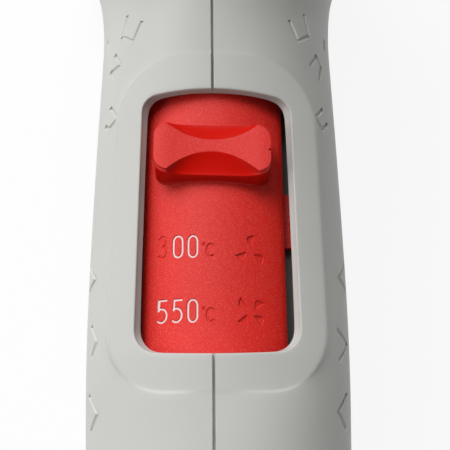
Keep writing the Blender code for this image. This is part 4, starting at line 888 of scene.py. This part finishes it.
# Slide button. One red nylon moulding: a plate curved across, a thumb bar with a finger notch
# on each side, wings that run in the tray and a pin that moves the switch. The two settings
# and their fan signs are sunk into the plate.
PLATE_TOP = 46.9
PLATE_BOTTOM = 116.8
PLATE_CROWN = 20.3
PLATE_RADIUS = 20.0
PLATE_THICKNESS = 1.7
PLATE_HALF_WIDTH = 11.5
PLATE_SHIFT = -0.5
PLATE_TURN = math.asin(PLATE_HALF_WIDTH / PLATE_RADIUS)
PLATE_EDGE_DROP = 0.25
BAR_MIDDLE = 81.12
BAR_HALF_LENGTH = 9.45
BAR_HALF_WIDTH = 4.48
BAR_CORNER = 2.3
BAR_RISE = 3.6
BAR_DIP = 0.8
BAR_LEDGE = 1.8
BAR_ROUND = 3.2
BAR_END_FALL = 0.4
BAR_SHIFT = -0.65
# Side of the bar, half width left between its notches and draft of the side
BAR_SIDES = ((-1.0, 1.45, 0.1), (1.0, 0.65, 0.25))
NOTCH_REACH = 7.4
SLIDE_LEAN = 0.035
MARK_LEAN = 0.058


def plate_height(x):
    """Height of the plate over the handle's axis, at a place across it."""
    return PLATE_CROWN - PLATE_RADIUS + math.sqrt(PLATE_RADIUS ** 2 - x * x)


def bar_top(u):
    """Height of the bar's saddle over the plate's crown, at a place along the bar."""
    return BAR_RISE - BAR_DIP * (1.0 - (u / BAR_HALF_LENGTH) ** 2)


plate_rings = []
for row in range(141):
    s = PLATE_TOP + (PLATE_BOTTOM - PLATE_TOP) * row / 140
    ring = []
    for step in range(49):
        turn = PLATE_TURN * (1.0 - 2.0 * step / 48)
        drop = PLATE_EDGE_DROP * max(abs(2.0 * step / 48 - 1.0) - 0.96, 0.0) / 0.04
        x = PLATE_RADIUS * math.sin(turn)
        ring.append(on_handle(x + PLATE_SHIFT, s, plate_height(x) - drop))
    for step in range(48, -1, -4):
        turn = PLATE_TURN * (1.0 - 2.0 * step / 48)
        x = (PLATE_RADIUS - PLATE_THICKNESS) * math.sin(turn)
        h = PLATE_CROWN - PLATE_RADIUS + (PLATE_RADIUS - PLATE_THICKNESS) * math.cos(turn)
        ring.append(on_handle(x + PLATE_SHIFT, s, h))
    plate_rings.append(ring)
slide = loft("slide_button_dressed", plate_rings)

# The bar is lofted from end to end; a profile runs over it from the upper side to the lower
bar_rings = []
for step in range(97):
    u = -BAR_HALF_LENGTH * math.cos(math.pi * step / 96)
    past = max(abs(u) - (BAR_HALF_LENGTH - BAR_CORNER), 0.0)
    edge = BAR_HALF_WIDTH - BAR_CORNER + math.sqrt(max(BAR_CORNER ** 2 - past ** 2, 0.0))
    over = max(abs(u) - BAR_HALF_LENGTH + BAR_ROUND, 0.0) / BAR_ROUND
    top = bar_top(u) - BAR_END_FALL * over ** 2.5
    crown = plate_height(u) - PLATE_CROWN
    profile = []
    for side, waist, draft in BAR_SIDES:
        notch = min(abs(u) / NOTCH_REACH, 1.0)
        hollow = min(waist + (edge - 0.5 - waist) * notch ** 2.1, edge - 0.5)
        ledge = max(BAR_LEDGE + (top - 0.5 - BAR_LEDGE) * notch ** 6, crown + 0.5)
        half = [(hollow - 0.4, top + 0.005)]
        for part in range(13):
            t = part / 12
            half.append((hollow + (edge - 0.12 - hollow) * t,
                         ledge + (top - ledge) * (1.0 - t) ** 1.5))
        half.append((edge, ledge - 0.12))
        half.append((edge + draft, crown + 0.3))
        half.append((edge + draft + 0.25, crown - 0.05))
        half = [(side * v, h) for v, h in half]
        profile += reversed(half) if side < 0 else half
    profile = [(profile[0][0], crown - 1.0)] + profile + [(profile[-1][0], crown - 1.0)]
    bar_rings.append([on_handle(BAR_SHIFT + u, BAR_MIDDLE + v + SLIDE_LEAN * u, PLATE_CROWN + h)
                      for v, h in profile])
carve(slide, loft("bar", bar_rings), "UNION")


def handle_box(name, x_range, s_range, h_range):
    """A box in the handle's own directions."""
    points = []
    for h in h_range:
        for x, s in ((0, 0), (1, 0), (1, 1), (0, 1)):
            points.append(on_handle(x_range[x], s_range[s], h))
    faces = [[0, 1, 2, 3], [4, 5, 6, 7], [0, 1, 5, 4], [1, 2, 6, 5], [2, 3, 7, 6], [3, 0, 4, 7]]
    return skin(name, points, faces)


# Wings on their webs and the pin below the plate, then the nick in the bar's right end
BELOW_PLATE = (
    ("wings", (-13.6, 13.6), (85.8, 95.3), (12.6, 14.2)),
    ("web", (-10.7, -9.5), (86.1, 95.0), (13.4, 16.4)),
    ("web", (8.5, 9.7), (86.1, 95.0), (13.4, 16.4)),
    ("pin", (-2.5, 2.5), (92.0, 96.0), (7.6, 19.0)),
)
for name, x_range, s_range, h_range in BELOW_PLATE:
    carve(slide, handle_box(name, x_range, s_range, h_range), "UNION")
carve(slide, handle_box("nick", (8.45, 9.3), (81.5, 81.85), (21.5, 26.0)))


def sunk_stroke(path, width, depth, closed=False):
    """A cutter that follows a path of (x, s) on the plate."""
    places = []
    outs = []
    for x, s in path:
        h = plate_height(x - PLATE_SHIFT)
        spot = on_handle(x, s, h) / MM
        lean = (x - PLATE_SHIFT) / PLATE_RADIUS
        above = on_handle(x + lean, s, h + math.sqrt(1.0 - lean * lean)) / MM
        places.append(spot)
        outs.append((above - spot).normalized())
    return sweep("mark", places, outs, width, depth, 0.2 * width, closed, slant=0.45)


def arc(middle, radii, start, end, steps):
    """Points on an ellipse; 0 degrees points right and 90 up the handle."""
    points = []
    for step in range(steps + 1):
        turn = math.radians(start + (end - start) * step / steps)
        points.append((middle[0] + radii[0] * math.cos(turn),
                       middle[1] - radii[1] * math.sin(turn)))
    return points


def digit(sign, middle, base):
    """Paths of a digit about 1.5 mm wide and 3.5 mm tall, over the middle of its foot."""
    if sign == "0":
        upper = arc((middle, base - 2.6), (0.72, 0.95), 0.0, 180.0, 12)
        lower = arc((middle, base - 0.95), (0.72, 0.95), 180.0, 360.0, 12)
        return [upper + lower]
    if sign == "3":
        upper = arc((middle - 0.05, base - 2.68), (0.6, 0.86), 140.0, -75.0, 12)
        lower = arc((middle - 0.05, base - 0.96), (0.72, 0.98), 75.0, -140.0, 12)
        return [upper, lower]
    corner = (middle - 0.5, base - 3.5)
    lower = arc((middle - 0.2, base - 1.08), (0.85, 1.1), 120.0, -130.0, 14)
    return [[(middle + 0.6, base - 3.5), corner, (middle - 0.6, base - 1.95)], lower]


# Each cutter brings the slide's two main finishes, the red moulding and the pale painted highlight
# on the floors of its figures, which stands for their glints, so that the cut faces keep the one
# that they are given. The third is the bar's alone
RED_BOUNCE = (0.5, 0.22, 0.2)
FLOOR_FACING = -0.82
# The red moulding's paler grain tips are a painted highlight, the glints of its grain painted in
red_nylon = moulded("red_nylon", (0.9, 0.01, 0.005), 0.5, grains=5000.0, depth=0.00014, speckle=0.1,
                    specular=0.45, painted_glint=(0.98, 0.12, 0.085), bounce=RED_BOUNCE)
red_polished = moulded("red_polished", (0.76, 0.006, 0.001), 0.3, depth=0.00001, speckle=0.05,
                       specular=0.16, bounce=RED_BOUNCE)
# Painted highlight: a pale colour on the floors of the figures' strokes stands for their glints
digit_painted_highlight = moulded("digit_painted_highlight", (1.0, 0.78, 0.78), 0.5, grains=1800.0, speckle=0.12)


def two_finishes(thing, with_glint=False):
    """Give a mesh both finishes; all of it is red, but the floor of a chosen cutter takes the pale
    painted highlight.
    """
    thing.data.materials.append(red_nylon)
    thing.data.materials.append(digit_painted_highlight)
    for face in thing.data.polygons:
        face.material_index = int(with_glint and face.normal.dot(OFF_FACE) < FLOOR_FACING)
    return thing


# The finger notches of the bar and its sides are polished, down to its foot on the plate
BAR_FOOT = 0.22
two_finishes(slide)
slide.data.materials.append(red_polished)
for face in slide.data.polygons:
    away = face.center / MM - on_handle(BAR_SHIFT, BAR_MIDDLE, PLATE_CROWN) / MM
    u = away.dot(ACROSS)
    v = away.dot(DOWN_HANDLE) - SLIDE_LEAN * u
    rise = away.dot(OFF_FACE)
    foot = plate_height(min(abs(u), 11.0)) - PLATE_CROWN + BAR_FOOT
    on_bar = abs(u) < BAR_HALF_LENGTH + 0.5 and abs(v) < BAR_HALF_WIDTH + 0.5
    if on_bar and rise > foot:
        notch = abs(u) < NOTCH_REACH and rise < bar_top(u) - 0.04
        if notch or face.normal.dot(OFF_FACE) < 0.5:
            face.material_index = 2

# The settings: three digits, a degree ring and a letter each, on a line that leans, in strokes of
# a width and a depth. Marks of a digit that touch each other are cut one after the other
SETTINGS = (("300", 98.45), ("550", 109.0))
DIGIT_START = -8.65
DIGIT_SPACING = 2.4
DIGIT_STROKE = (0.4, 0.16)
LEAN_MIDDLE = -6.25
UNIT_LEAN = MARK_LEAN * 4.2
DEGREE_STROKE = (0.22, 0.15)
LETTER_STROKE = (0.38, 0.2)
first_marks = []
second_marks = []
for text, foot in SETTINGS:
    for place, sign in enumerate(text):
        middle = DIGIT_START + DIGIT_SPACING * place
        paths = digit(sign, middle, foot + MARK_LEAN * (middle - LEAN_MIDDLE))
        # The strokes of every figure but the 3 get the pale painted highlight on their floors
        strokes = [two_finishes(sunk_stroke(path, *DIGIT_STROKE, sign == "0"), sign != "3")
                   for path in paths]
        first_marks.append(strokes[0])
        second_marks += strokes[1:]
    degree = arc((-2.08, foot + UNIT_LEAN - 2.15), (0.2, 0.2), 0.0, 315.0, 7)
    first_marks.append(two_finishes(sunk_stroke(degree, *DEGREE_STROKE, True)))
    letter = arc((-0.98, foot + UNIT_LEAN - 1.1), (0.62, 1.05), 55.0, 305.0, 14)
    first_marks.append(two_finishes(sunk_stroke(letter, *LETTER_STROKE)))

# The fan signs, three blades for the low setting and four for the high one: middle, then turns
FANS = (
    ((5.4, 97.45), (79.0, 200.0, 310.0)),
    ((5.24, 107.5), (36.0, 126.0, 219.0, 309.0)),
)
PETAL_ROOT = 0.78
PETAL_LENGTH = 1.96
PETAL_BULGE = 1.02
PETAL_MIDDLE = (1.76, 0.42)
# Height over the plate and size of the cutter there
PETAL_LEVELS = ((-0.26, 0.74), (0.15, 1.22))


def petal(middle, turn):
    """A fan blade: one straight edge, one round edge, leaning with the fan's turn."""
    outline = []
    for step in range(13):
        t = step / 12
        bulge = PETAL_BULGE * math.sin(math.pi * t) ** 0.8
        outline.append((PETAL_ROOT + PETAL_LENGTH * t, bulge))
    outline.append((2.76, -0.06))
    outline.append((0.76, -0.06))
    rings = []
    for level, grow in PETAL_LEVELS:
        ring = []
        for reach, side in outline:
            reach = PETAL_MIDDLE[0] + (reach - PETAL_MIDDLE[0]) * grow
            side = PETAL_MIDDLE[1] + (side - PETAL_MIDDLE[1]) * grow
            at_x = middle[0] + (reach * math.cos(turn) - side * math.sin(turn))
            at_s = middle[1] - (reach * math.sin(turn) + side * math.cos(turn))
            ring.append(on_handle(at_x, at_s, plate_height(at_x - PLATE_SHIFT) + level))
        rings.append(ring)
    return loft("petal", rings)


for middle, turns in FANS:
    for turn in turns:
        first_marks.append(two_finishes(petal(middle, math.radians(turn))))
carve(slide, one_tool(first_marks))
carve(slide, one_tool(second_marks))

finish_piece(slide, None, "slide", "slide_red", "slide_button", sharp=24.0)


# Ends of the barrel. The rear grille and the nose guard are moulded in dark nylon and held in
# grooves of the two halves, a rubber ring lets the tool stand, and the nozzle is a steel tube.
def dress(nodes, paint):
    """Give CAD nodes, which keep their own shape, a finish in place of their plain one."""
    for node in nodes:
        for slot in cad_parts[node].material_slots:
            slot.material = paint


dark_nylon = moulded("dark_nylon", (0.032, 0.032, 0.034), 0.5)
black_rubber = moulded("black_rubber", (0.018, 0.018, 0.018), 0.72)
nozzle_steel = moulded("nozzle_steel", (0.52, 0.51, 0.49), 0.3, grains=1500.0, depth=0.00001,
                       metallic=1.0)
dress(["rear_grille", "nose_guard"], dark_nylon)
dress(["stand_ring"], black_rubber)
dress(["nozzle_tube"], nozzle_steel)


# Heater. A resistance wire wound round crossed mica sheets on a white ceramic base, in a rolled
# sleeve of mica, with a steel cased cut-out that opens when it gets too hot.
white_nylon = moulded("white_nylon", (0.75, 0.74, 0.69), 0.5)
mica_sheet = moulded("mica_sheet", (0.5, 0.42, 0.28), 0.42, grains=700.0, depth=0.00005,
                     speckle=0.25)
plated_steel = moulded("plated_steel", (0.42, 0.42, 0.43), 0.34, grains=1500.0, depth=0.00001,
                       metallic=1.0)
oxidised_wire = moulded("oxidised_wire", (0.25, 0.21, 0.19), 0.45, metallic=1.0)
dress(["heater_base"], white_nylon)
dress(["mica_sleeve", "heater_core", "heater_top_disc"], mica_sheet)
dress(["thermal_cutout"], plated_steel)
dress(["heater_winding"], oxidised_wire)


# Motor and fan. A motor in a steel can is pressed into the duct and turns a moulded fan; its
# rectifier sits on a small circuit board behind it.
circuit_board = moulded("circuit_board", (0.02, 0.12, 0.05), 0.4)
dress(["motor_can", "motor_shaft"], plated_steel)
dress(["fan_impeller", "fan_duct"], white_nylon)
dress(["rectifier_board"], circuit_board)


# Switch. The slide button's wings run in a grey nylon tray between the halves, and its pin moves
# a white carriage in the dark body of the switch.
tray_nylon = moulded("tray_nylon", (0.2, 0.195, 0.19), 0.5)
dress(["guide_tray"], tray_nylon)
dress(["switch_carriage"], white_nylon)
dress(["switch_body"], dark_nylon)


# Mains end. A rubber bush in the butt and a nylon clamp with two screws take the lead, with a
# terminal block for its wires and a capacitor that keeps the motor's noise off the mains.
dress(["cord_bush"], black_rubber)
dress(["cord_clamp"], dark_nylon)
dress(["suppression_capacitor", "terminal_block"], white_nylon)
dress(["clamp_screw_1", "clamp_screw_2"], plated_steel)


# Screws of the housing. Seven plated steel screws hold the halves together; they are driven in
# from the right, through counterbored holes into the bosses of the left half.
dress([f"shell_screw_{number}" for number in range(1, 8)], plated_steel)
